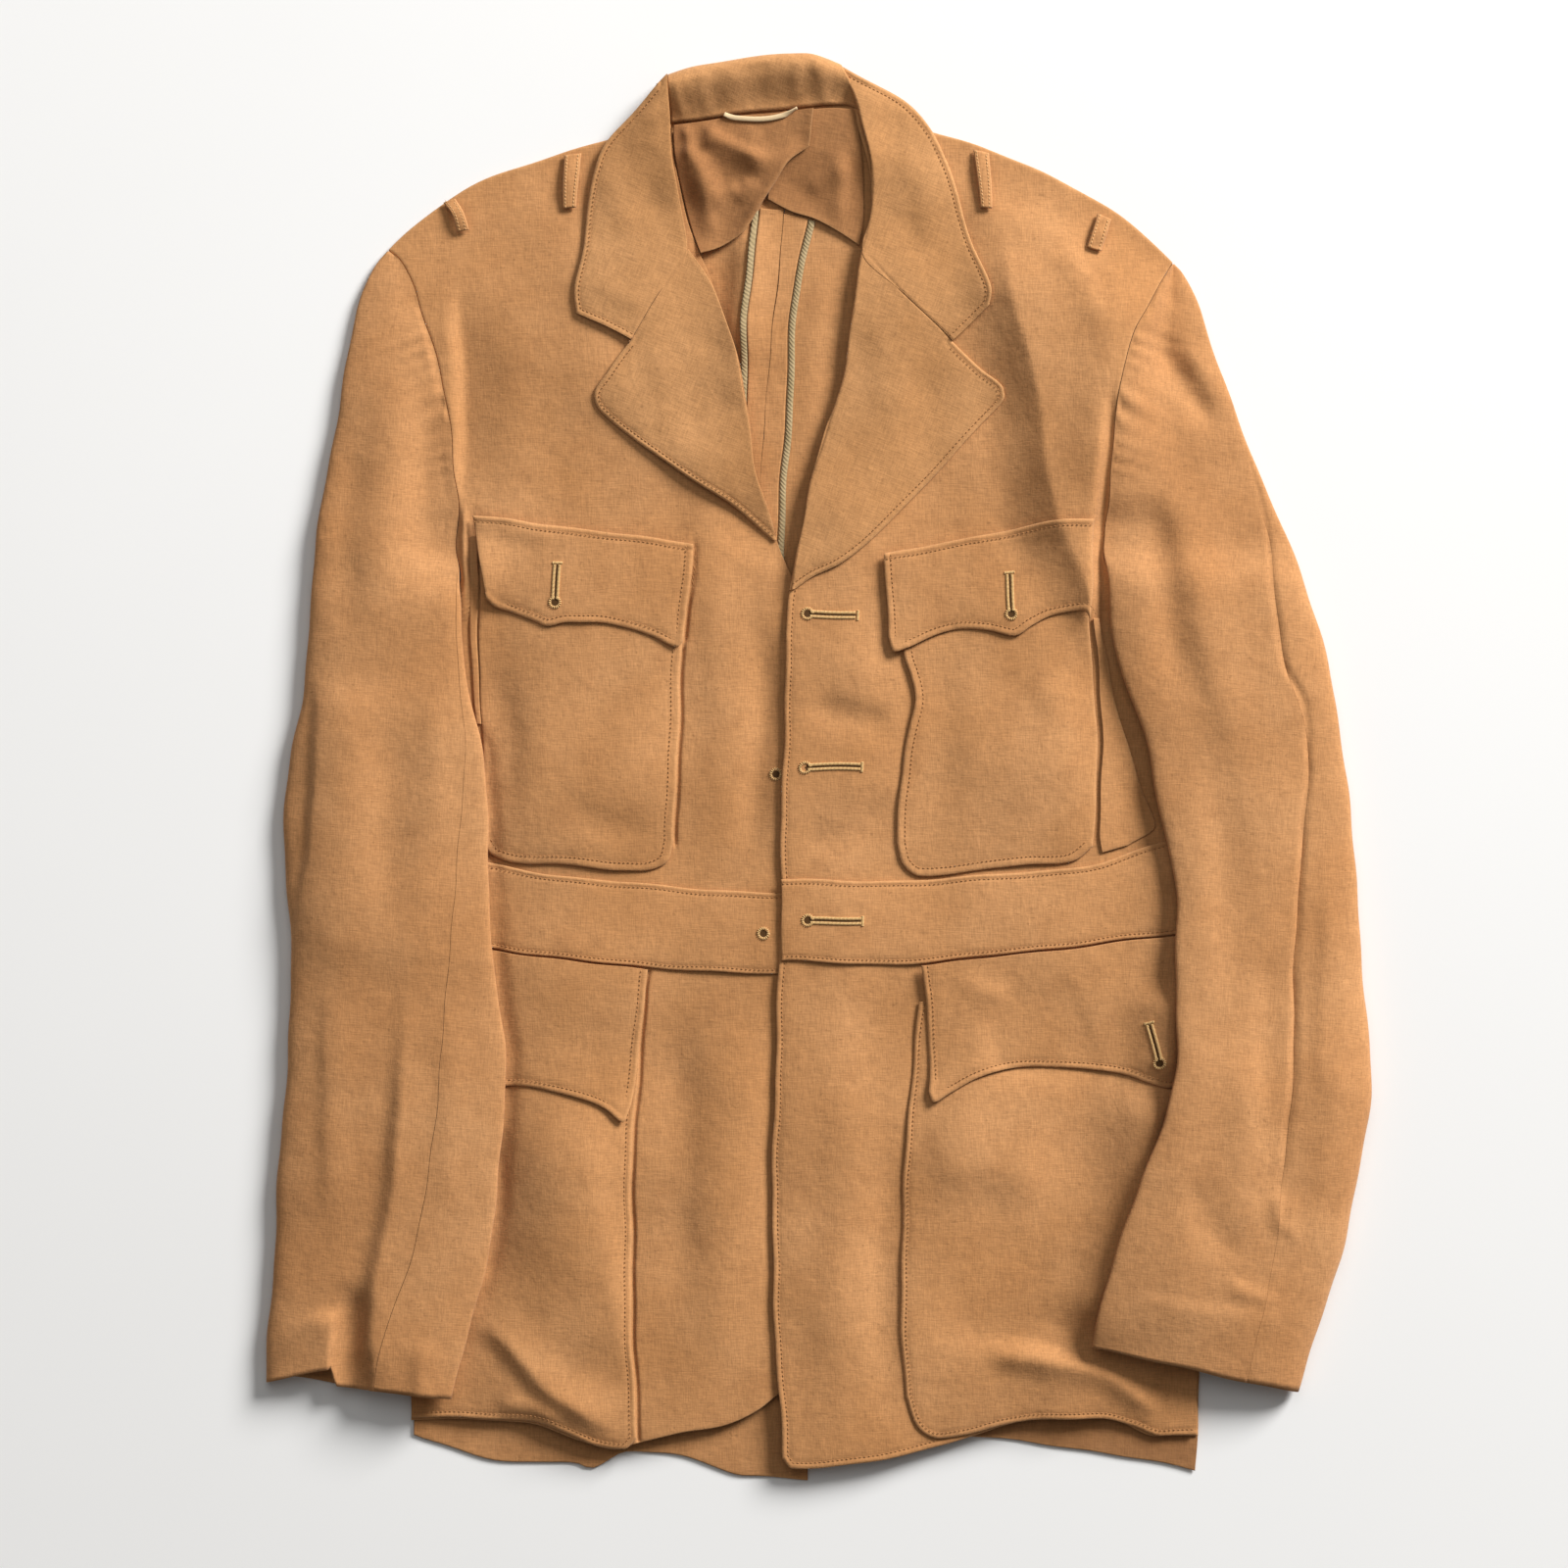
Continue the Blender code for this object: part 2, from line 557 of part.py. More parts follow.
def back_lie(x, y):
    """Underside of the back: flat on the surface, lifted behind the neck by the collar's fall."""
    behind = smooth((NECK_REACH - top_inside(x, y)) / NECK_RUN)
    return NECK_LIFT * behind * smooth((x - NECK_RIGHT) / NECK_FADE) * smooth((NECK_LEFT - x) / NECK_FADE)


def front_lie(x, y):
    """Underside of the fronts, which every layer that lies on them follows."""
    inside = top_inside(x, y)
    side = min(x - along(SIDES, "y", y, "right"), along(SIDES, "y", y, "left") - x)
    rise = (BODY_LIE - EDGE_LIE) * smooth(inside / EDGE_REACH) * smooth(side / EDGE_REACH)
    rise -= COLLAR_DROP * smooth(-inside / COLLAR_DROP_RUN)
    for armpit_x, armpit_y in ARMPITS:
        away = hypot(x - armpit_x, y - armpit_y)
        rise += ARMPIT_LIFT * exp(-(away / ARMPIT_REACH) ** 2)
    for fold in BODY_FOLDS:
        rise += ridge(fold, x, y)
    return back_lie(x, y) + EDGE_LIE + rise


def left_front_lie(x, y):
    """The left front lies over the right one along the closing."""
    return front_lie(x, y) + OVERLAP_LIFT * smooth((OVERLAP_END - x) / OVERLAP_RUN)


def crown(x, y):
    """Swell of the bellows pockets, which their flaps follow."""
    swell = 0.0
    for bump in CROWNS:
        across = 1.0 - ((x - bump.x) / bump.reach_x) ** 2
        upright = 1.0 - ((y - bump.y) / bump.reach_y) ** 2
        if across > 0.0 and upright > 0.0:
            swell += bump.height * smooth(across) * smooth(upright)
    return swell


def over(lie, plies, swelling=False):
    """A layer some plies above another one."""
    if swelling:
        return lambda x, y: lie(x, y) + plies * PLY + crown(x, y)
    return lambda x, y: lie(x, y) + plies * PLY


def filled(rows, pitch):
    """The rows of a table with smooth rows between them, no further apart than the pitch."""
    kind = type(rows[0])
    gaps = []
    for low, high in zip(rows, rows[1:]):
        first = hypot(high[0] - low[0], high[1] - low[1])
        second = hypot(high[2] - low[2], high[3] - low[3])
        gaps.append((first + second) / 2.0)
    slopes = [[(b - a) / gap for a, b in zip(low, high)] for low, high, gap in zip(rows, rows[1:], gaps)]
    tangents = [slopes[0]]
    for before, after in zip(slopes, slopes[1:]):
        tangents.append([(a + b) / 2.0 if a * b > 0.0 else 0.0 for a, b in zip(before, after)])
    tangents.append(slopes[-1])
    result = []
    for index, gap in enumerate(gaps):
        steps = max(1, round(gap / pitch))
        for step in range(steps):
            s = step / steps
            weights = (2 * s ** 3 - 3 * s ** 2 + 1, s ** 3 - 2 * s ** 2 + s,
                       3 * s ** 2 - 2 * s ** 3, s ** 3 - s ** 2)
            columns = zip(rows[index], tangents[index], rows[index + 1], tangents[index + 1])
            row = [a * weights[0] + ta * gap * weights[1] + b * weights[2] + tb * gap * weights[3]
                   for a, ta, b, tb in columns]
            result.append(kind(*row))
    result.append(rows[-1])
    return result


def on_cut(cut, share):
    """A point along a section, which stops half a seam short of each end."""
    run = Vector((cut.end_x - cut.start_x, cut.end_y - cut.start_y))
    share = (SEAM / 2.0 + share * (run.length - SEAM)) / run.length
    aside = Vector((-run.y, run.x)).normalized()
    curve = 4.0 * share * (1.0 - share) * cut.bow + sin(2.0 * pi * share) * cut.sway
    return Vector((cut.start_x, cut.start_y)) + run * share + aside * curve


def linear(hex_colour):
    """An sRGB colour as the shader takes it."""
    values = [int(hex_colour[i:i + 2], 16) / 255.0 for i in (0, 2, 4)]
    return [v / 12.92 if v <= 0.04045 else ((v + 0.055) / 1.055) ** 2.4 for v in values] + [1.0]


def finish(data, name, hex_colour):
    """Name the object, give it its cloth and put it in the coat's collection."""
    piece = bpy.data.objects.new(name, data)
    cloth = bpy.data.materials.new(name + "_cloth")
    cloth.use_nodes = True
    shader = cloth.node_tree.nodes["Principled BSDF"]
    shader.inputs["Base Color"].default_value = linear(hex_colour)
    shader.inputs["Roughness"].default_value = 0.85
    shader.inputs["Metallic"].default_value = 0.0
    data.materials.append(cloth)
    coat.objects.link(piece)
    return piece


def shell(name, place, columns, rows, wall, hex_colour, outward=True, facing=(0, 0, 1)):
    """A wall of cloth on a grid, whose points are placed in millimetres by a function of column and row."""
    form = bmesh.new()
    bmesh.ops.create_grid(form, x_segments=columns, y_segments=rows, size=0.5)
    for vertex in form.verts:
        column = round((vertex.co.x + 0.5) * columns)
        row = round((vertex.co.y + 0.5) * rows)
        vertex.co = Vector(place(column, row)) * MM
    form.normal_update()
    toward = sum(face.normal.dot(Vector(facing)) * face.calc_area() for face in form.faces)
    if toward < 0.0:
        bmesh.ops.reverse_faces(form, faces=form.faces)
    data = bpy.data.meshes.new(name)
    form.to_mesh(data)
    form.free()
    data.shade_smooth()
    piece = finish(data, name, hex_colour)
    thickness = piece.modifiers.new("wall", "SOLIDIFY")
    thickness.thickness = wall * MM
    thickness.offset = 1.0 if outward else -1.0
    return piece


def panel(name, table, columns, lie, pitch=40.0, wall=CLOTH, hex_colour=DRILL):
    """A piece of cloth that lies on what is under it, cut to a table of sections."""
    cuts = filled(table, pitch)
    last = len(cuts) - 1

    def place(column, row):
        spot = on_cut(cuts[row], column / columns)
        neighbour = cuts[1] if row == 0 else cuts[last - 1]
        if row in (0, last):
            inward = on_cut(neighbour, column / columns) - spot
            spot += inward.normalized() * SEAM / 2.0
        return spot.x, spot.y, lie(spot.x, spot.y)

    return shell(name, place, columns, last, wall, hex_colour)


def ring_point(ring, angle):
    """A point of a sleeve's outside, from the angle round its ring: 0 inner edge, pi outer edge."""
    share = (1.0 - cos(angle)) / 2.0
    top = sin(angle) >= 0.0
    x = ring.in_x + (ring.out_x - ring.in_x) * share
    y = ring.in_y + (ring.out_y - ring.in_y) * share
    distance = share * hypot(ring.out_x - ring.in_x, ring.out_y - ring.in_y)
    lie = front_lie if ring.in_x < 0.0 else left_front_lie
    open_loft = lie(ring.in_x, ring.in_y) + CLOTH - ring.rest
    inner_loft = open_loft + (ring.loft - open_loft) * ring.shut
    loft = inner_loft + (ring.loft - inner_loft) * smooth(share / 0.5)
    fullness = max(0.0, 1.0 - abs(2.0 * share - 1.0) ** SLEEVE_EDGE) ** (1.0 / SLEEVE_EDGE)
    if share < 0.5:
        fullness = 1.0 - ring.shut * (1.0 - fullness)
    base = ring.rest * smooth((ring.under + SLEEVE_TOE - distance) / SLEEVE_LEAN)
    z = base + loft / 2.0 * (1.0 + (fullness if top else -fullness))
    if top:
        z += sum(ridge(fold, x, y) for fold in SLEEVE_FOLDS) * fullness ** 4 * smooth(share / 0.12)
    return x, y, z


def seam_angle(share):
    """The angle of a seam that lies a share of the width from an edge, minus for the underside."""
    angle = acos(1.0 - 2.0 * abs(share))
    return angle if share >= 0.0 else -angle


def seam_half_gap(angle_from_edge):
    """Half the gap between the two sleeve pieces, as an angle, wider round the folded edge."""
    return 0.014 + 0.1 * exp(-(angle_from_edge / 0.25) ** 2)


def sleeve(side, table, around_upper, around_under, pitch):
    """The upper and under sleeve, two arcs of the same flattened rings."""
    rings = filled(table, pitch)
    last = len(rings) - 1

    def arc(ring, upper):
        fore = seam_angle(ring.fore)
        hind = seam_angle(ring.hind)
        fore_gap = seam_half_gap(fore) * ring.shut
        hind_gap = seam_half_gap(hind)
        if upper:
            return fore + fore_gap, pi - hind - hind_gap
        return pi - hind + hind_gap, 2.0 * pi + fore - fore_gap

    def placer(upper, around, first):
        def place(column, row):
            ring = rings[first + row]
            start, end = arc(ring, upper)
            even = column / around
            share = 0.35 * even + 0.65 * (1.0 - cos(pi * even)) / 2.0
            return ring_point(ring, start + (end - start) * share)
        return place

    shell("upper_sleeve_" + side, placer(True, around_upper, 0), around_upper, last, CLOTH, DRILL,
          outward=False)
    first = rings.index(table[UNDER_SLEEVE_TOP])
    shell("under_sleeve_" + side, placer(False, around_under, first), around_under, last - first, CLOTH,
          DRILL_SHADE, outward=False, facing=(0, 0, -1))


def collar_back(pitch, flat_steps, fold_steps):
    """The collar behind the neck: the fall on the surface, the fold at the top and the stand over it."""
    stands = filled(COLLAR_STAND, pitch)
    last = len(stands) - 1
    columns = 2 * flat_steps + fold_steps
    radius = COLLAR_FOLD / 2.0
    seam_top = NECK_LIFT + COLLAR

    def place(column, row):
        stand = stands[row]
        seam = Vector((stand.seam_x, stand.seam_y))
        rise = Vector((stand.fold_x, stand.fold_y)) - seam
        height = rise.length
        if column <= flat_steps:
            share = column / flat_steps
            reach = -FALL_BELOW_SEAM + share * (height - radius + FALL_BELOW_SEAM)
            z = 0.0
        elif column < flat_steps + fold_steps:
            turn = pi * (column - flat_steps) / fold_steps
            reach = height - radius + radius * sin(turn)
            z = radius - radius * cos(turn)
        else:
            share = 1.0 - (column - flat_steps - fold_steps) / flat_steps
            reach = SEAM / 2.0 + share * (height - radius - SEAM / 2.0)
            z = seam_top + (COLLAR_FOLD - seam_top) * smooth(share)
        spot = seam + rise.normalized() * reach
        return spot.x, spot.y, z

    shell("collar_back", place, columns, last, COLLAR, DRILL, outward=False, facing=(0, 1, 0))


def strap_loop(name, table, lie):
    """A loop that keeps a shoulder strap down, sewn at its ends and bowed up between them."""
    low, high = table

    def place(column, row):
        share = row / LOOP_STEPS
        cut = Cut(*(a + (b - a) * share for a, b in zip(low, high)))
        spot = on_cut(cut, column / 2)
        arch = LOOP_ARCH * sin(pi * share)
        return spot.x, spot.y, lie(spot.x, spot.y) + CLOTH + 0.5 + arch

    shell(name, place, 2, LOOP_STEPS, CLOTH, DRILL_SHADE)


def hanger_loop():
    """The cord loop at the neck seam."""
    path = bpy.data.curves.new("hanger_loop", "CURVE")
    path.dimensions = "3D"
    path.bevel_depth = HANGER_RADIUS * MM
    path.bevel_resolution = 1
    path.use_fill_caps = True
    spline = path.splines.new("POLY")
    spline.points.add(len(HANGER_ROUTE) - 1)
    clear = ON_BACK + ON_LINING + LINING + HANGER_RADIUS + SEAM
    for point, (x, y) in zip(spline.points, HANGER_ROUTE):
        point.co = Vector((x, y, NECK_LIFT + clear, 1.0 / MM)) * MM
    finish(path, "hanger_loop", CORD)


for leftover in list(bpy.data.objects):
    bpy.data.objects.remove(leftover)
coat = bpy.data.collections.new("service_coat")
bpy.context.scene.collection.children.link(coat)

panel("back_r", BACK_R, 8, back_lie)
panel("back_l", BACK_L, 8, back_lie)
for turning, rows in (("back_turning_r", BACK_TURNING_R), ("back_turning_l", BACK_TURNING_L)):
    panel(turning, rows, 2, lambda x, y: back_lie(x, y) + ON_BACK, wall=LINING)
for binding, rows in (("seam_binding_r", SEAM_BINDING_R), ("seam_binding_l", SEAM_BINDING_L)):
    panel(binding, rows, 1, lambda x, y: back_lie(x, y) + ON_BACK, wall=LINING, hex_colour=BINDING)
panel("yoke_lining_l", YOKE_LINING_L, 6, lambda x, y: back_lie(x, y) + ON_BACK, wall=LINING)
panel("yoke_lining_r", YOKE_LINING_R, 6, lambda x, y: back_lie(x, y) + ON_BACK + ON_LINING,
      wall=LINING)
collar_back(pitch=16.0, flat_steps=4, fold_steps=5)
hanger_loop()

for side, lie, tables in (
    ("r", front_lie, (FRONT_R, SKIRT_R, BAND_R, LAPEL_R, COLLAR_LEAF_R)),
    ("l", left_front_lie, (FRONT_L, SKIRT_L, BAND_L, LAPEL_L, COLLAR_LEAF_L)),
):
    front, skirt, band, lapel, leaf = tables
    panel("front_" + side, front, 11, lie, pitch=24.0)
    panel("skirt_" + side, skirt, 9, lie)
    panel("waistband_" + side, band, 2, over(lie, 1), pitch=22.0)
    panel("lapel_" + side, lapel, 6, over(lie, 1))
    panel("collar_leaf_" + side, leaf, 6, over(lie, 1), wall=COLLAR)

for side, lie, tables in (
    ("r", front_lie, (BREAST_POCKET_R, BREAST_GUSSET_R, BREAST_FLAP_R, SKIRT_POCKET_R, SKIRT_FLAP_R)),
    ("l", left_front_lie, (BREAST_POCKET_L, BREAST_GUSSET_L, BREAST_FLAP_L, SKIRT_POCKET_L, SKIRT_FLAP_L)),
):
    breast, gusset, breast_flap, pocket, flap = tables
    panel("breast_pocket_" + side, breast, 8, over(lie, 1, swelling=True), pitch=24.0)
    panel("breast_gusset_" + side, gusset, 2, over(lie, 0.84))
    panel("breast_flap_" + side, breast_flap, 4, over(lie, 2, swelling=True))
    panel("skirt_pocket_" + side, pocket, 9, over(lie, 1, swelling=True), pitch=26.0)
    panel("skirt_flap_" + side, flap, 4, over(lie, 2, swelling=True), pitch=24.0)

for name, rows in STRAP_LOOPS.items():
    strap_loop(name, rows, front_lie)

sleeve("r", SLEEVE_R, around_upper=9, around_under=11, pitch=34.0)
sleeve("l", SLEEVE_L, around_upper=9, around_under=11, pitch=34.0)
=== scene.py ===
import math

import bmesh
import bpy
import numpy as np
from mathutils import Matrix, Vector


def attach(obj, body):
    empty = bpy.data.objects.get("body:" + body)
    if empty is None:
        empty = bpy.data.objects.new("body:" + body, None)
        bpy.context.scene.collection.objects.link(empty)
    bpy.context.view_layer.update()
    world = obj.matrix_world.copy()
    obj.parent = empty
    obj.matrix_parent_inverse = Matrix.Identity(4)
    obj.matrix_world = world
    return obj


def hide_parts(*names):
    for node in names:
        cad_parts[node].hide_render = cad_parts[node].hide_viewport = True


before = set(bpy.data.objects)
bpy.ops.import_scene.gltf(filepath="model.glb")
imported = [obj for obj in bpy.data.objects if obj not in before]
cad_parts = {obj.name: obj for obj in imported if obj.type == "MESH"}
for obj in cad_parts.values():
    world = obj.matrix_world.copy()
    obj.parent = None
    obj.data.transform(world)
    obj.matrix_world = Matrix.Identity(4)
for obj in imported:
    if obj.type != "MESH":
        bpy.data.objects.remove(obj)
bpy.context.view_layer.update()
print("frame loaded:", len(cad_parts), "nodes")

mm = 0.001
fullTurn = 2.0 * math.pi
coat = {
    "cloth": 1.4,              # top of a cloth above its lie
    "ply": 2.2,                # one layer to the next
    "wall": 0.7,               # thickness that shows at an edge
    "coarse": 2.6,             # mesh size away from the edges
    "pitch": 2.5,              # stitch to stitch
    "lie": 3.4,                # fronts above the table
    "edgeLie": 1.75,           # the same at the side and shoulder edges
    "edgeReach": 45.0,
    "least": (1.6, 0.3),       # lowest lie, inside the shoulder line and past it
    "shoulderDrop": 2.3,       # past the shoulder line
    "shoulderReach": 22.0,
    "swell": 2.8,              # air under the chest and skirt
    "swellTop": (30.0, 50.0),  # where it starts in from the shoulder, and its run
    "swellSide": (46.0, 40.0),
    "overlap": 3.5,            # left front over the right one
    "overlapEnd": 78.0,
    "overlapRun": 70.0,
    "overlapTop": 190.0,
    "overlapFade": 80.0,
    "neckLift": 2.4,
    "neckMiddle": -22.0,
    "neckReach": 40.0,
    "armpitLift": 1.4,
    "armpitReach": 50.0,
    "backShare": 0.35,         # how much of the back's folds a front shows
    "pocketSag": -1.5,         # furthest that a pocket sinks
}


# cloth maths, all in millimetres
def ease(value):
    value = np.clip(value, 0.0, 1.0)
    return value * value * (3.0 - 2.0 * value)


def bent(points, each=8):  # a smooth line through a few points
    points = np.array(points, float)
    if len(points) < 3:
        return points
    padded = np.vstack([2 * points[0] - points[1], points, 2 * points[-1] - points[-2]])
    line = []
    for a, b, c, d in zip(padded, padded[1:], padded[2:], padded[3:]):
        for t in np.arange(each) / each:
            line.append(0.5 * (2 * b + (c - a) * t + (2 * a - 5 * b + 4 * c - d) * t ** 2
                               + (3 * b - a - 3 * c + d) * t ** 3))
    return np.array(line + [points[-1]])


def runOf(line):  # length of each step of a line, and the run up to each point
    steps = np.hypot(*np.diff(line, axis=0).T)
    return steps, np.concatenate([[0.0], np.cumsum(steps)])


def toLine(x, y, line):  # distance, share along and side of a line for many points
    steps, before = runOf(line)
    best = np.full(x.shape, 1e9)
    share = np.zeros(x.shape)
    side = np.ones(x.shape)
    for (ax, ay), (bx, by), length, run in zip(line, line[1:], steps, before):
        if length < 1e-9:
            continue
        dx, dy = (bx - ax) / length, (by - ay) / length
        px, py = x - ax, y - ay
        t = np.clip(px * dx + py * dy, 0.0, length)
        d = np.hypot(px - dx * t, py - dy * t)
        near = d < best
        best = np.where(near, d, best)
        share = np.where(near, (run + t) / before[-1], share)
        side = np.where(near, np.sign(dx * py - dy * px), side)
    return best, share, side


def crease(path, high, left, right, kind="soft", fade=0.3, runsOut=""):  # a fold and its reach on each side
    return {"path": path, "high": high, "left": left, "right": right,
            "kind": kind, "fade": fade, "runsOut": runsOut}


def slope(share):  # steep at the crest, level at the foot
    return 1.0 - np.sin(np.pi / 2.0 * np.clip(share, 0.0, 1.0))


def foldHeight(fold, x, y):  # one crease
    line = bent(fold["path"])
    left, right = fold["left"], fold["right"]
    reach = 4.0 * max(left, right)
    near = ((x > line[:, 0].min() - reach) & (x < line[:, 0].max() + reach)
            & (y > line[:, 1].min() - reach) & (y < line[:, 1].max() + reach))
    height = np.zeros(x.shape)
    if not near.any():
        return height
    d, share, side = toLine(x[near], y[near], line)
    width = np.where(side > 0, left, right)
    if fold["kind"] == "bank":  # crisp crest, a little rounded, both sides run out flat
        profile = slope((np.sqrt(d * d + 2.2) - 1.48) / width)
    elif fold["kind"] == "brow":  # crisp on the right of the line, level on the left before it runs out
        profile = np.where(side > 0, ease(1.0 - d / left), slope(d / right))
    elif fold["kind"] == "under":  # an edge that lies over, on the right of the line
        profile = np.where(side < 0, np.exp(-d / right), np.exp(-(d / left) ** 2))
    else:
        profile = np.exp(-(d / width) ** 2)
    taper = np.ones(d.shape)
    if fold["runsOut"] != "start":  # it keeps its height where it runs out at an edge
        taper = taper * ease(share / fold["fade"])
    if fold["runsOut"] != "end":
        taper = taper * ease((1.0 - share) / fold["fade"])
    height[near] = fold["high"] * profile * taper
    return height


def foldsHeight(folds, x, y):
    total = np.zeros(x.shape)
    for fold in folds:
        total += foldHeight(fold, x, y)
    return total


dice = np.random.default_rng(41)
waves = [(dice.uniform(0, math.pi), dice.uniform(28, 130), dice.uniform(0, 6.28)) for i in range(16)]


def ripple(x, y):  # the slight unevenness of washed cloth
    total = np.zeros(x.shape)
    for turn, length, phase in waves:
        along = x * math.cos(turn) + y * math.sin(turn)
        bend = 0.8 * np.sin((y * math.cos(turn) - x * math.sin(turn)) / (length * 0.9) + phase * 3.1)
        total += length / 400.0 * np.sin(along * 6.283 / length + phase + bend)
    return total


def waver(x, y):  # keeps long edges from running dead straight
    dx = 0.45 * np.sin(y / 15.0 + 0.6) + 0.3 * np.sin(y / 6.7 + x / 29.0) + 0.5 * np.sin(y / 37.0 + x / 61.0)
    dy = 0.45 * np.sin(x / 16.0 + 1.9) + 0.3 * np.sin(x / 7.1 - y / 33.0) + 0.5 * np.sin(x / 41.0 - y / 57.0)
    return x + dx, y + dy


# how high each layer lies
sideLine = {"y": [-400, -230, -120, -65, 0, 45, 90, 125, 160],
            "right": [-228, -230, -233, -236, -238, -235, -228, -230, -300],
            "left": [213, 214, 217, 221, 222, 212, 196, 190, 260]}
topLine = {"x": [-241, -205, -160, -114, -83, -17, 20, 62, 120, 165, 199],
           "y": [290, 316, 339, 353, 362, 369, 371, 362, 334, 312, 282]}
neckLine = {"y": [100, 130, 200, 290, 330], "half": [-40, 6, 27, 48, 55]}  # half of the open neck
# where the collar lifts the back
neckBand = {"deep": 48.0, "run": 26.0, "right": -112.0, "left": 46.0, "fade": 22.0}
armpits = [(-203.0, 125.0), (160.0, 131.0)]

bodyFolds = [  # creases that every layer of a front follows
    crease([(-201, 282), (-199, 244), (-198, 200), (-198, 156), (-198, 132)], -3.8, 32, 8, kind="bank"),
    crease([(-118, 330), (-114, 230), (-118, 120)], 2.4, 60, 60),
    crease([(-198.6, 150), (-198, 120), (-197, 76)], 3.0, 2.4, 2.6, fade=0.2),
    crease([(-150, 322), (-130, 268), (-116, 214), (-112, 180)], 2.2, 16, 24),
    crease([(92, 314), (97, 303), (102, 290), (112, 247), (120.5, 214), (125.5, 178), (134, 138), (145, 112),
        (151, 92), (152, 50)], 9.6, 150, 32, kind="brow", fade=0.2),
    crease([(163.5, 220), (161.8, 190), (160.8, 162), (157.9, 131), (158.3, 100), (164, 60)], -5.5, 3.5, 4.2,
        fade=0.25),
    crease([(168, 122), (172, 104), (182, 88)], -5.0, 16, 5),
    crease([(184, 290), (176, 252), (171, 211), (167, 160), (167, 136)], 8.0, 40, 30),
    crease([(56, 336), (90, 314), (126, 300), (160, 290)], 1.6, 9, 14),
    crease([(132, 300), (150, 268), (160, 244)], 1.6, 7, 9),
    crease([(-62, 150), (-58, 90), (-52, 20), (-56, -50)], 1.8, 14, 13),
    crease([(-34, 96), (-30, 40), (-36, -30), (-32, -66)], -2.6, 8, 9),
    crease([(-10, 36), (20, 28), (44, 24)], -2.2, 8, 10),
    crease([(-12, -44), (20, -38), (42, -10)], -1.8, 9, 8),
    crease([(16, 80), (28, 30), (22, -40)], 1.6, 16, 13),
    crease([(-84, -130), (-74, -210), (-80, -300)], -1.6, 9, 12),
    crease([(-52, -120), (-48, -200), (-54, -290), (-46, -350)], 2.6, 17, 16),
    crease([(-24, -130), (-26, -220), (-22, -330)], -1.6, 8, 9),
    crease([(10, -130), (16, -220), (8, -320), (14, -380)], 2.2, 15, 16),
    crease([(42, -190), (36, -280), (42, -372)], -2.2, 10, 9),
    crease([(-192, 30), (-186, 8), (-182.6, -30), (-183, -70), (-179, -110), (-172.4, -156), (-173, -190),
        (-177.4, -237), (-185, -282), (-193, -316)], -2.0, 4.5, 5, fade=0.1),
    crease([(158, -126), (148, -190), (136, -240), (124, -276), (110, -312)], -2.2, 30, 46, fade=0.2),
    crease([(-200, -344), (-160, -352), (-112, -372)], 2.0, 22, 12),
    crease([(100, -326), (140, -340), (196, -356)], 2.0, 22, 13),
]
backFolds = [
    crease([(-39.6, 316), (-43, 262), (-45, 222)], 5.8, 22, 13, kind="bank"),
    crease([(4, 290), (-2, 230), (-10, 170)], 1.6, 8, 9),
]


def topInside(x, y):
    return np.interp(x, topLine["x"], topLine["y"]) - y


def backLie(x, y, share=1.0):
    folds = share * foldsHeight(backFolds, x, y)
    lift = (ease((neckBand["deep"] - topInside(x, y)) / neckBand["run"])
            * ease((x - neckBand["right"]) / neckBand["fade"])
            * ease((neckBand["left"] - x) / neckBand["fade"]))
    return coat["neckLift"] * lift + folds


def frontLie(x, y):
    inside = topInside(x, y)
    side = np.minimum(x - np.interp(y, sideLine["y"], sideLine["right"]),
                      np.interp(y, sideLine["y"], sideLine["left"]) - x)
    inner = ease(inside / coat["edgeReach"]) * ease(side / coat["edgeReach"])
    rise = ((coat["lie"] - coat["edgeLie"]) * inner
            - coat["shoulderDrop"] * ease(-inside / coat["shoulderReach"]))
    opening = np.interp(y, neckLine["y"], neckLine["half"]) + coat["neckReach"]
    # cloth comes down to the back at the neck
    neck = ease((opening - np.abs(x - coat["neckMiddle"])) / coat["neckReach"])
    (topStart, topRun), (sideStart, sideRun) = coat["swellTop"], coat["swellSide"]
    rise = rise + (coat["swell"] * (1.0 - neck) * ease((inside - topStart) / topRun)
                   * ease((side - sideStart) / sideRun))
    for ax, ay in armpits:
        rise = rise + coat["armpitLift"] * np.exp(-((x - ax) ** 2 + (y - ay) ** 2) / coat["armpitReach"] ** 2)
    rise = rise + foldsHeight(bodyFolds, x, y) + ripple(x, y) * inner
    low = np.maximum(coat["edgeLie"] + rise, np.where(inside > 0, *coat["least"]))
    return backLie(x, y, coat["backShare"]) + low


def leftFrontLie(x, y):
    over = (ease((coat["overlapEnd"] - x) / coat["overlapRun"])
            * ease((coat["overlapTop"] - y) / coat["overlapFade"]))
    return frontLie(x, y) + coat["overlap"] * over


crowns = [  # middle, half width, half height and swell of each bellows pocket
    (-128, 25, 62, 90, 2.0), (100, 25, 66, 90, 2.2), (-140, -240, 52, 120, 2.2), (100, -240, 50, 120, 1.4),
]


def crown(x, y):
    swell = np.zeros(x.shape)
    for cx, cy, rx, ry, high in crowns:
        swell = swell + high * ease(1.0 - ((x - cx) / rx) ** 2) * ease(1.0 - ((y - cy) / ry) ** 2)
    return swell


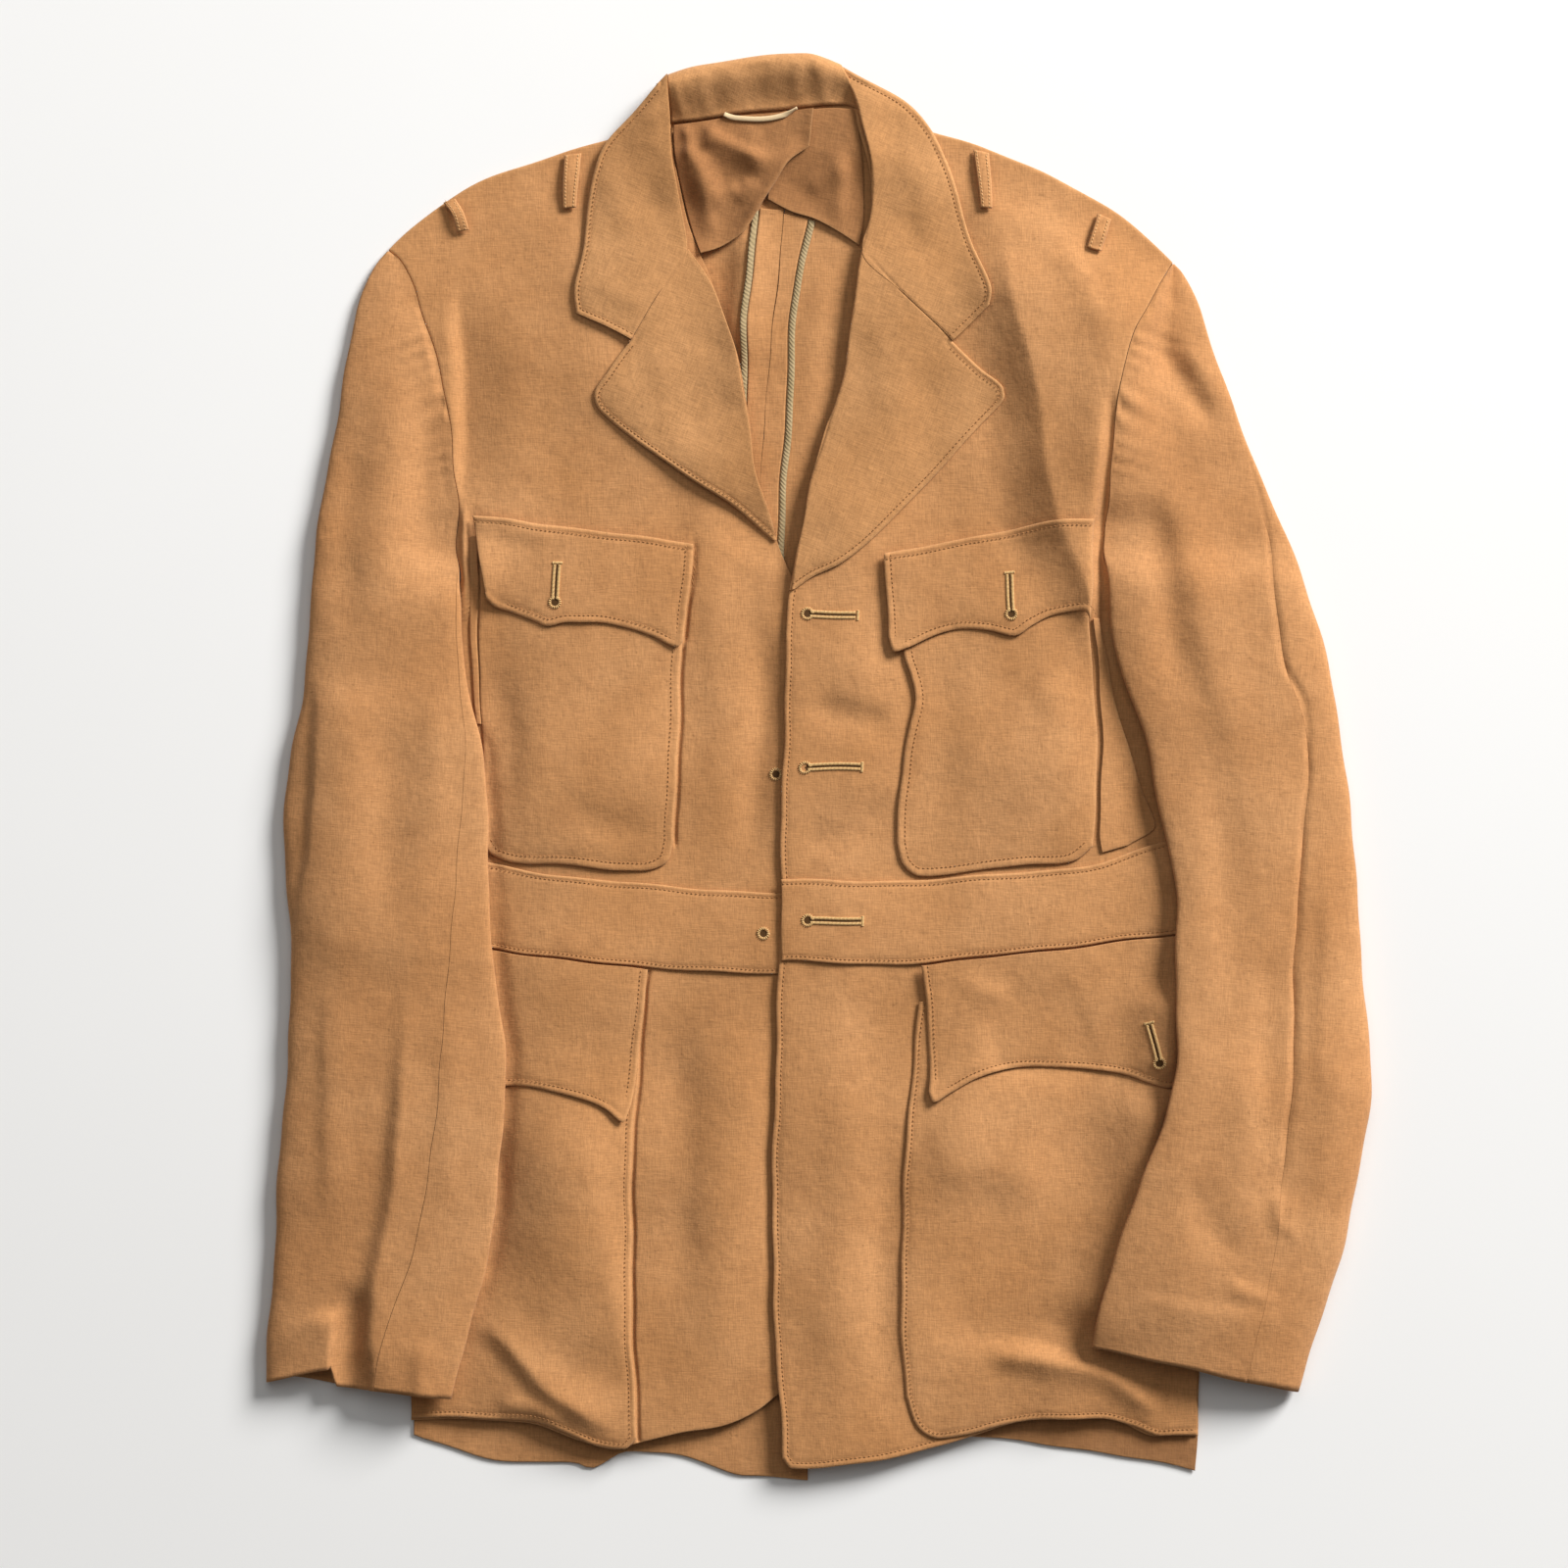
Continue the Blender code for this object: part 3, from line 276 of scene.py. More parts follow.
pocketFolds = [  # creases of the pockets, which their flaps follow
    crease([(198, -116), (196, -150), (192, -184)], 7.6, 13, 30, kind="brow", fade=0.3),
    crease([(193, -172), (182, -228), (170, -260), (158, -290), (150, -322)], 9.2, 13, 48, kind="brow",
        fade=0.18),
    crease([(150, -176), (140, -232), (126, -268), (112, -306)], -1.6, 26, 30),
    crease([(54, -216), (90, -222), (116, -228), (132, -232)], 3.0, 36, 15),
    crease([(64, -322), (96, -316), (132, -318), (160, -326)], -2.6, 34, 8),
    crease([(90, -330), (112, -330), (138, -333), (160, -339), (178, -351), (194, -366)], 3.4, 10, 12,
        kind="bank", fade=0.2),
    crease([(-200, -312), (-180, -318), (-166, -332), (-152, -348), (-132, -360), (-109, -376)], 4.0, 24, 9,
        kind="bank"),
    crease([(-194, -292), (-184, -250), (-184, -196)], -3.6, 16, 20),
    crease([(-136, -186), (-128, -240), (-118, -300), (-112, -350)], 5.0, 16, 34, fade=0.25),
    crease([(-184, -356), (-160, -358), (-140, -368)], 1.6, 5, 5),
    crease([(86, -156), (122, -160), (160, -156)], -3.8, 34, 14),
    crease([(76, -118), (96, -126), (112, -130)], 1.2, 6, 7),
    crease([(-180, 60), (-172, 10), (-178, -36)], -1.8, 9, 10),
    crease([(-150, -20), (-110, -34), (-86, -30)], -1.4, 11, 9),
    crease([(60, 70), (70, 20), (64, -40)], -1.2, 13, 11),
    crease([(118, 60), (134, 30), (128, -20)], 1.5, 13, 11),
]

rolls = {  # where collar and lapel turn over, from the break to the back of the neck
    "r": bent([(-23, 127), (-30, 151), (-35, 170), (-42.5, 215), (-47, 237), (-57, 266), (-73.2, 290),
               (-79, 321), (-82, 350), (-84.2, 374), (-84.8, 388)]),
    "l": bent([(-17, 98), (-12.7, 120), (-3.3, 161), (9.4, 204), (14.9, 226), (18.7, 255), (23.2, 289),
               (29.7, 318), (29, 340), (24.8, 360), (19.3, 377), (8.3, 393.5)]),
}
gorges = {"r": np.array([(-104.2, 239.0), (-73.6, 290.6)]), "l": np.array([(75.0, 238.8), (23.4, 289.6)])}
rollShape = {"stand": {"r": 7.0, "l": 1.4}, "reach": 78.0, "bow": 1.3, "start": 0.2,
             "drop": {"r": 0.25, "l": 1.0}, "lip": 1.6}


def turnover(front, side, folds):  # one layer over a front, rising to the roll line
    def lie(x, y):
        d, share = toLine(x, y, rolls[side])[:2]
        rise = np.clip(1.0 - d / rollShape["reach"], 0.0, 1.0) ** rollShape["bow"]
        stand = rollShape["stand"][side] * rise * ease(share / rollShape["start"])
        lip = rollShape["drop"][side] * np.clip(1.0 - d / rollShape["lip"], 0.0, 1.0) ** 2
        return front(x, y) + coat["ply"] + stand - lip + foldsHeight(folds, x, y)

    return lie


def pocketLie(front):
    return lambda x, y: (front(x, y) + coat["ply"]
                         + np.maximum(crown(x, y) + foldsHeight(pocketFolds, x, y), coat["pocketSag"]))


def flapLie(front):
    pocket = pocketLie(front)
    return lambda x, y: pocket(x, y) + coat["ply"]


def raised(front, plies):
    return lambda x, y: front(x, y) + plies * coat["ply"]


# materials
def linear(hexColour):  # sRGB hex to the shader's linear colour
    values = [int(hexColour[i:i + 2], 16) / 255.0 for i in (0, 2, 4)]
    return [v / 12.92 if v <= 0.04045 else ((v + 0.055) / 1.055) ** 2.4 for v in values] + [1.0]


def addNode(tree, kind, settings=None, links=None):  # one node with its settings, its values and its links
    node = tree.nodes.new(kind)
    for key, value in (settings or {}).items():
        if isinstance(key, int) or key in [i.name for i in node.inputs]:
            node.inputs[key].default_value = value
        else:
            setattr(node, key, value)
    for key, source in (links or {}).items():
        tree.links.new(source, node.inputs[key])
    return node


def startMaterial(name, roughness, sheen=0.0):
    material = bpy.data.materials.new(name)
    material.use_nodes = True
    tree = material.node_tree
    shader = tree.nodes["Principled BSDF"]
    shader.inputs["Roughness"].default_value = roughness
    shader.inputs["Metallic"].default_value = 0.0
    shader.inputs["Specular IOR Level"].default_value = 0.18
    shader.inputs["Sheen Weight"].default_value = sheen
    return material, tree, shader


def washedDrill(name, base, faded, deep, turn=0.0):
    # cotton and linen drill, vat dyed and washed pale: slubby threads both ways, cloudy fading, dry and matt
    material, tree, shader = startMaterial(name, 0.88, 0.12)
    place = addNode(tree, "ShaderNodeTexCoord").outputs["Object"]
    grain = addNode(tree, "ShaderNodeMapping", {"Rotation": (0, 0, turn)}, {"Vector": place})
    threads = []  # slubs, 0.7 mm thick and 7 mm long, drawn coarser than the real thread so that they show
    for across, along in ((1.0, 0.1), (0.1, 1.0)):
        stretch = addNode(tree, "ShaderNodeMapping", {"Scale": (across, along, 0.3)},
                          {"Vector": grain.outputs["Vector"]})
        slubs = addNode(tree, "ShaderNodeTexNoise", {"Scale": 1450.0, "Detail": 2.0, "Roughness": 0.65},
                        {"Vector": stretch.outputs["Vector"]})
        threads.append(slubs.outputs["Fac"])
    weave = addNode(tree, "ShaderNodeMath", {"operation": "ADD"},
                    {0: threads[0], 1: threads[1]})
    clouds = addNode(tree, "ShaderNodeTexNoise", {"Scale": 13.0, "Detail": 5.0, "Roughness": 0.55},
                     {"Vector": place})  # fading in clouds of about 75 mm
    patches = addNode(tree, "ShaderNodeTexNoise", {"Scale": 60.0, "Detail": 4.0, "Roughness": 0.6},
                      {"Vector": place})  # blotches of about 16 mm
    specks = addNode(tree, "ShaderNodeTexNoise", {"Scale": 420.0, "Detail": 1.0},
                     {"Vector": place})  # flecks of about 2 mm
    fade = addNode(tree, "ShaderNodeMapRange", {"From Min": 0.36, "From Max": 0.66},
                   {"Value": clouds.outputs["Fac"]})
    toned = addNode(tree, "ShaderNodeMix", {"data_type": "RGBA", 6: linear(base), 7: linear(faded)},
                    {0: fade.outputs["Result"]})
    stain = addNode(tree, "ShaderNodeMapRange", {"From Min": 0.5, "From Max": 0.78, "To Max": 0.42},
                    {"Value": patches.outputs["Fac"]})
    stained = addNode(tree, "ShaderNodeMix", {"data_type": "RGBA", 7: linear(deep)},
                      {0: stain.outputs["Result"], 6: toned.outputs[2]})
    contrast = addNode(tree, "ShaderNodeMapRange",
                       {"From Min": 0.72, "From Max": 1.28, "To Min": 0.83, "To Max": 1.15},
                       {"Value": weave.outputs["Value"]})
    woven = addNode(tree, "ShaderNodeMix", {"data_type": "RGBA", "blend_type": "MULTIPLY", 0: 1.0},
                    {6: stained.outputs[2], 7: contrast.outputs["Result"]})
    flecks = addNode(tree, "ShaderNodeMapRange", {"From Min": 0.69, "From Max": 0.76, "To Max": 0.3},
                     {"Value": specks.outputs["Fac"]})
    flecked = addNode(tree, "ShaderNodeMix", {"data_type": "RGBA", 7: linear("7A5430")},
                      {0: flecks.outputs["Result"], 6: woven.outputs[2]})
    worn = addNode(tree, "ShaderNodeAttribute", {"attribute_name": "wear"}).outputs["Fac"]
    rubAndHighlight = addNode(tree, "ShaderNodeMath", {"operation": "MULTIPLY", 1: 0.18}, {0: worn})
    rubbedAndHighlighted = addNode(tree, "ShaderNodeMix", {"data_type": "RGBA", 7: linear("D9A873")},
                     {0: rubAndHighlight.outputs["Value"], 6: flecked.outputs[2]})  # rubbed pale at the edges, real wear together with a painted highlight along each turned edge
    paintedShadeMask = addNode(tree, "ShaderNodeMath", {"operation": "MULTIPLY", 1: -0.6, "use_clamp": True}, {0: worn})
    soiled = addNode(tree, "ShaderNodeMix", {"data_type": "RGBA", 7: linear("6A452A")},
                     {0: paintedShadeMask.outputs["Value"], 6: rubbedAndHighlighted.outputs[2]})  # painted shade where the attribute is negative, along the backs' hems
    tree.links.new(soiled.outputs[2], shader.inputs["Base Color"])
    crumple = addNode(tree, "ShaderNodeTexNoise", {"Scale": 95.0, "Detail": 3.0, "Roughness": 0.55},
                      {"Vector": place})  # crumple of about 10 mm
    soft = addNode(tree, "ShaderNodeBump", {"Strength": 0.3, "Distance": 0.002},
                   {"Height": crumple.outputs["Fac"]})
    skew = addNode(tree, "ShaderNodeMapping", {"Rotation": (0, 0, 0.7 + turn), "Scale": (1.0, 0.4, 0.4)},
                   {"Vector": place})
    lines = addNode(tree, "ShaderNodeTexNoise", {"Scale": 48.0, "Detail": 2.0, "Distortion": 0.5},
                    {"Vector": skew.outputs["Vector"]})  # short creases, 20 mm apart and 50 mm long
    middle = addNode(tree, "ShaderNodeMath", {"operation": "SUBTRACT", 1: 0.5}, {0: lines.outputs["Fac"]})
    far = addNode(tree, "ShaderNodeMath", {"operation": "ABSOLUTE"}, {0: middle.outputs["Value"]})
    crest = addNode(tree, "ShaderNodeMapRange",
                    {"From Min": 0.0, "From Max": 0.06, "To Min": 1.0, "To Max": 0.0},
                    {"Value": far.outputs["Value"]})
    some = addNode(tree, "ShaderNodeMapRange", {"From Min": 0.5, "From Max": 0.66},
                   {"Value": clouds.outputs["Fac"]})
    creased = addNode(tree, "ShaderNodeMath", {"operation": "MULTIPLY"},
                      {0: crest.outputs["Result"], 1: some.outputs["Result"]})
    sharp = addNode(tree, "ShaderNodeBump", {"Strength": 0.1, "Distance": 0.0008},
                    {"Height": creased.outputs["Value"], "Normal": soft.outputs["Normal"]})
    fine = addNode(tree, "ShaderNodeBump", {"Strength": 0.3, "Distance": 0.00035},
                   {"Height": weave.outputs["Value"], "Normal": sharp.outputs["Normal"]})
    tree.links.new(fine.outputs["Normal"], shader.inputs["Normal"])
    return material


def spunThread(name, pale, twistShade):
    # sewing cotton: dull, slightly furry, with painted shade in the grooves of its twist
    material, tree, shader = startMaterial(name, 0.7, 0.1)
    place = addNode(tree, "ShaderNodeTexCoord").outputs["Object"]
    twistShadeNoise = addNode(tree, "ShaderNodeTexNoise", {"Scale": 1400.0, "Detail": 2.0}, {"Vector": place})
    colour = addNode(tree, "ShaderNodeMix", {"data_type": "RGBA", 6: linear(twistShade), 7: linear(pale)},
                     {0: twistShadeNoise.outputs["Fac"]})
    tree.links.new(colour.outputs[2], shader.inputs["Base Color"])
    return material


def herringTape(name):
    # cotton binding tape, faded khaki, narrow rib across it
    material, tree, shader = startMaterial(name, 0.85, 0.1)
    place = addNode(tree, "ShaderNodeTexCoord").outputs["Object"]
    rib = addNode(tree, "ShaderNodeTexWave",
                  {"Scale": 260.0, "Distortion": 2.5, "Detail": 2.0, "bands_direction": "DIAGONAL"},
                  {"Vector": place})
    soil = addNode(tree, "ShaderNodeTexNoise", {"Scale": 110.0, "Detail": 4.0}, {"Vector": place})
    colour = addNode(tree, "ShaderNodeMix", {"data_type": "RGBA", 6: linear("8E7B55"), 7: linear("B7A07A")},
                     {0: soil.outputs["Fac"]})
    tree.links.new(colour.outputs[2], shader.inputs["Base Color"])
    bump = addNode(tree, "ShaderNodeBump", {"Strength": 0.5, "Distance": 0.0004},
                   {"Height": rib.outputs["Fac"]})
    tree.links.new(bump.outputs["Normal"], shader.inputs["Normal"])
    return material


cloths = {
    "body": washedDrill("washedDrillBody", "BA8351", "C68F5D", "A37044"),
    "facing": washedDrill("washedDrillFacing", "B98452", "C48F5D", "A47446", 0.35),
    "sleeve": washedDrill("washedDrillSleeve", "B98251", "C48E5D", "A27044", 0.06),
    # the lining drill is painted darker than the outer drill: painted shade of the yoke in the neck
    "lining": washedDrill("washedDrillLiningShaded", "9A693F", "A67448", "825632", 0.2),
    "tape": herringTape("cottonTape"),
    # topstitch cotton: its dark end also stands in for the shade the sunk stitches lie in, as painted shade
    "thread": spunThread("sewingCotton", "B98450", "9A6B40"),
    "paleThread": spunThread("paleSewingCotton", "E2B884", "C4945E"),
    "goldThread": spunThread("buttonholeTwist", "E9C68C", "C79C60"),
    "cord": spunThread("cottonCord", "E2C8A0", "CDB085"),
    # a dark sheet laid in each buttonhole slit and eye: painted shade of the opening
    "slit": spunThread("paintedSlitShade", "5A3B16", "452C10"),
}
print("materials made:", len(cloths))


# panels cut to tables of sections, each with its two ends, its bow and its sway
def readTable(rows, shares):  # smooth sections between those of a table
    table = np.array(rows, float)
    ends = np.diff(table[:, :4], axis=0)
    gaps = (np.hypot(ends[:, 0], ends[:, 1]) + np.hypot(ends[:, 2], ends[:, 3])) / 2.0
    knots = np.concatenate([[0.0], np.cumsum(gaps)])
    slopes = np.diff(table, axis=0) / gaps[:, None]
    inner = np.where(slopes[:-1] * slopes[1:] > 0, (slopes[:-1] + slopes[1:]) / 2.0, 0.0)
    tangents = np.vstack([slopes[:1], inner, slopes[-1:]])
    at = np.asarray(shares) * knots[-1]
    i = np.clip(np.searchsorted(knots, at, "right") - 1, 0, len(gaps) - 1)
    gap = gaps[i][:, None]
    s = ((at - knots[i]) / gaps[i])[:, None]
    return (table[i] * (2 * s ** 3 - 3 * s ** 2 + 1) + tangents[i] * gap * (s ** 3 - 2 * s ** 2 + s)
            + table[i + 1] * (3 * s ** 2 - 2 * s ** 3) + tangents[i + 1] * gap * (s ** 3 - s ** 2)), knots[-1]


spacing = {"edge": [0.0, 0.5, 1.1, 1.9, 2.7, 3.4, 4.2, 5.4],
           "band": 7.0, "narrow": 24.0, "small": 1.1, "fine": 0.7}


def spread(length, coarse, fine=()):  # shares along a length, closer at both ends and in the fine stretches
    edge, band = np.array(spacing["edge"]), spacing["band"]
    if length < spacing["narrow"]:
        return np.linspace(0.0, 1.0, max(4, int(length / spacing["small"]) + 1))
    inner = np.linspace(band, length - band, max(2, int((length - 2.0 * band) / coarse) + 1))
    shares = np.concatenate([edge, inner, length - edge[::-1]]) / length
    for low, high in fine:
        rest = shares[(shares < low) | (shares > high)]
        shares = np.concatenate([rest, np.arange(low, high, spacing["fine"] / length)])
    return np.sort(shares)


def spotsOn(rows, shares):  # points of the sections, an array of x and one of y
    rows = rows[:, :, None]
    u = np.asarray(shares)[None, :]
    dx, dy = rows[:, 2] - rows[:, 0], rows[:, 3] - rows[:, 1]
    length = np.hypot(dx, dy)
    u = (0.15 + u * (length - 0.3)) / length  # a hair inside each end, so that neighbours don't touch
    curve = 4.0 * u * (1.0 - u) * rows[:, 4] + np.sin(2.0 * np.pi * u) * rows[:, 5]
    return rows[:, 0] + dx * u - dy / length * curve, rows[:, 1] + dy * u + dx / length * curve


def addObject(name, data):
    piece = bpy.data.objects.new(name, data)
    bpy.context.scene.collection.objects.link(piece)
    return piece


def meshObject(name, form, material, smooth=True):
    mesh = bpy.data.meshes.new(name)
    form.to_mesh(mesh)
    form.free()
    if smooth:
        mesh.shade_smooth()
    mesh.materials.append(material)
    return addObject(name, mesh)


def gridObject(name, x, y, z, wall, cloth, marks=None, facing=(0, 0, 1), crisp=()):
    rows, columns = x.shape[0] - 1, x.shape[1] - 1
    x, y = waver(x, y)
    form = bmesh.new()
    bmesh.ops.create_grid(form, x_segments=columns, y_segments=rows, size=0.5)
    # the attribute holds edge wear with a painted highlight, and painted shade on the backs' hems
    keep = form.verts.layers.float.new("wear")
    onBorder = {}
    for vert in form.verts:
        c = round((vert.co.x + 0.5) * columns)
        r = round((vert.co.y + 0.5) * rows)
        vert.co = Vector((x[r, c], y[r, c], z[r, c])) * mm
        if marks is not None:
            vert[keep] = marks[r, c]
        onBorder[vert] = {"first": r == 0, "last": r == rows, "start": c == 0, "end": c == columns}
    for edge in form.edges:
        if edge.is_boundary and any(all(onBorder[vert][border] for vert in edge.verts) for border in crisp):
            edge.smooth = False
    form.normal_update()
    if sum(face.normal.dot(Vector(facing)) * face.calc_area() for face in form.faces) < 0.0:
        bmesh.ops.reverse_faces(form, faces=form.faces)
    piece = meshObject(name, form, cloths[cloth])
    shell = piece.modifiers.new("wall", "SOLIDIFY")
    shell.thickness = wall * mm
    shell.offset = -1.0
    return piece


def declare(piece, node=None):  # on the one body, in place of its solid
    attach(piece, "root")
    if node:
        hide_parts(node)


stitchMarks = []  # x, y, z, direction of every topstitch
loopMarks = []  # the same on the shoulder loops, in paler thread


def sewAlong(line, inset, top, toLeft, pitch=coat["pitch"], marks=stitchMarks):
    run = runOf(line)[1]
    dense = np.arange(0.0, run[-1], 0.5)
    px, py = np.interp(dense, run, line[:, 0]), np.interp(dense, run, line[:, 1])
    tx, ty = np.gradient(px), np.gradient(py)
    size = np.maximum(np.hypot(tx, ty), 1e-9)
    sign = 1.0 if toLeft else -1.0
    qx, qy = px - sign * ty / size * inset, py + sign * tx / size * inset
    away = toLine(qx, qy, np.stack([px, py], 1)[::4])[0]
    good = away > inset * 0.96  # not where the row would cross itself in a corner
    qx, qy = qx[good], qy[good]
    if len(qx) < 6:
        return
    steps = np.hypot(np.diff(qx), np.diff(qy))
    run = np.concatenate([[0.0], np.cumsum(np.where(steps > 4.0 * pitch, 0.0, steps))])
    at = np.arange(pitch / 2.0, run[-1], pitch)
    sx, sy = np.interp(at, run, qx), np.interp(at, run, qy)
    ex, ey = np.interp(at + 0.6, run, qx), np.interp(at + 0.6, run, qy)
    sz, ez = top(sx, sy), top(ex, ey)
    marks.extend(zip(sx, sy, sz, ex - sx, ey - sy, ez - sz))


tops = {}  # top of each piece's cloth, for what is sewn on it
edges = {}  # its four borders
press = {  # how cloth answers to its sewing: heights, then reaches
    "bevel": 0.35, "bevelReach": 1.7, "settle": 0.5, "settleReach": 6.0, "worn": 1.0,
    "welt": 0.22, "weltStart": 1.2, "furrow": 0.3, "furrowReach": 0.9, "sunk": 0.12,
    "ridge": 0.12, "ridgeReach": 3.0, "groove": 0.3, "grooveReach": 0.7, "crevice": 1.5, "creviceReach": 1.1,
    "soilReach": 40.0, "hemReach": 0.06, "flankReach": 0.2, "least": 10.0,
}


def bell(d, reach):
    return np.exp(-(d / reach) ** 2)


def wavy(table, at, v, reach):  # how far the first edge runs in waves
    wave = bent(list(zip(*table)))
    return np.interp(at, wave[:, 0], wave[:, 1]) * ease(1.0 - v / reach)[:, None]


def layPanel(name, node, spec):
    rows = [tuple(r) + (0.0,) * (6 - len(r)) for r in spec["cuts"]]
    probe, reach = readTable(rows, np.linspace(0, 1, 40))
    width = np.hypot(probe[:, 2] - probe[:, 0], probe[:, 3] - probe[:, 1])
    coarse = spec.get("coarse", coat["coarse"])
    u = spread(width.max(), coarse, spec.get("fineAcross", ()))
    v = spread(reach, coarse, spec.get("fineAlong", ()))
    sections, reach = readTable(rows, v)
    x, y = spotsOn(sections, u)
    if "hem" in spec:
        y = y + wavy(spec["hem"], x, v, press["hemReach"])
    if "flank" in spec:
        x = x + wavy(spec["flank"], y, v, press["flankReach"])
    borders = {"start": np.stack([x[:, 0], y[:, 0]], 1), "end": np.stack([x[:, -1], y[:, -1]], 1),
               "first": np.stack([x[0], y[0]], 1), "last": np.stack([x[-1], y[-1]], 1)}
    lie, thick, cloth = spec["lie"], spec.get("top", coat["cloth"]), spec.get("cloth", "body")
    z = lie(x, y) + thick
    marks = np.zeros(x.shape)
    if "turned" in spec:  # edges turned in and pressed
        d = np.min([toLine(x, y, borders[b])[0] for b in spec["turned"]], axis=0)
        z -= press["bevel"] * np.clip(1.0 - d / press["bevelReach"], 0.0, 1.0) ** 2
        uneven = 0.6 + 0.4 * np.sin(x * 0.11 + y * 0.07 + len(name))
        z -= spec.get("settle", press["settle"]) * np.exp(-d / press["settleReach"]) * uneven
        # edge marks: rubbed wear and a painted highlight, made paler in the material
        marks = np.maximum(marks, bell(d, press["worn"]))
    # topstitching in a furrow, a minus for a border run backwards
    for inset, hand, *trail in spec.get("sewn", ()):
        line = np.vstack([borders[b[1:]][::-1] if b[0] == "-" else borders[b] for b in trail])
        d = toLine(x, y, line)[0]
        z += (press["welt"] * ease((inset - d) / inset) * ease(d / press["weltStart"])
              - press["furrow"] * bell(d - inset, press["furrowReach"]))
        sewAlong(line, inset, lambda a, b: lie(a, b) + thick - press["sunk"], hand == "left")
    for seam in spec.get("seams", ()):
        d = toLine(x, y, seam)[0]
        z += press["ridge"] * bell(d, press["ridgeReach"]) - press["groove"] * bell(d, press["grooveReach"])
    for line in spec.get("crevices", ()):  # where the edge of the next layer presses in
        z -= press["crevice"] * bell(toLine(x, y, bent(line))[0], press["creviceReach"])
    if "soil" in spec:  # painted shade along the back's hem, darker towards the bottom, where the fronts shade it
        marks = marks - spec["soiled"] * ease((spec["soil"] - y) / press["soilReach"])
    for cx, cy, radius, high in spec.get("curls", ()):
        z += high * np.exp(-((x - cx) ** 2 + (y - cy) ** 2) / radius ** 2)
    piece = gridObject(name, x, y, z, spec.get("wall", coat["wall"]), cloth, marks,
                       crisp=spec.get("crisp", ()))
    declare(piece, node)
    tops[node] = lambda a, b: lie(a, b) + thick
    edges[node] = borders


def layPanels(panels):  # a panel called backRight is backRightCloth in the scene and back_r in the frame
    for stem, spec in panels.items():
        node = "".join("_" + letter.lower() if letter.isupper() else letter for letter in stem)
        node = node.replace("_right", "_r").replace("_left", "_l")
        layPanel(stem + ("Tape" if spec.get("cloth") == "tape" else "Cloth"), node, spec)


lining = {"gap": 2.1, "over": 1.4, "sag": (-0.4, -0.3)}  # linings and turnings, above the back's underside
liningFolds = [
    crease([(-78, 352), (-64, 332), (-54, 308)], 5.0, 9, 14, kind="bank"),
    crease([(-70, 361), (-52, 350), (-34, 342), (-20, 344)], 3.6, 6, 12, kind="bank"),
    crease([(-70, 338), (-64, 316), (-60, 296)], 2.6, 4, 6),
    crease([(-76, 362), (-72, 350), (-74, 340)], 2.4, 3, 3),
    crease([(-62, 364), (-60, 354), (-66, 346)], 1.8, 3, 3),
    crease([(-46, 300), (-34, 318), (-18, 338), (-10, 352)], 3.6, 14, 4, kind="bank"),
    crease([(-30, 332), (-38, 346), (-36, 362)], 1.8, 6, 5),
    crease([(-56, 326), (-44, 322), (-34, 330)], 2.2, 5, 5),
    crease([(-8, 320), (6, 330), (20, 336)], 2.0, 6, 7),
    crease([(8, 300), (13, 326), (11, 350)], 2.2, 7, 4),
    crease([(-20, 322), (-4, 344), (8, 360)], -1.2, 5, 4),
]


def liningLie(x, y):
    return backLie(x, y) + lining["gap"]


def liningLeftLie(x, y):
    return liningLie(x, y) + np.maximum(foldsHeight(liningFolds[8:], x, y), lining["sag"][0])


def liningRightLie(x, y):  # over the left half, so it follows that half's ridges too
    return (liningLie(x, y) + lining["over"]
            + np.maximum(foldsHeight(liningFolds[:8], x, y), lining["sag"][1])
            + np.maximum(foldsHeight(liningFolds[8:], x, y), 0.0))


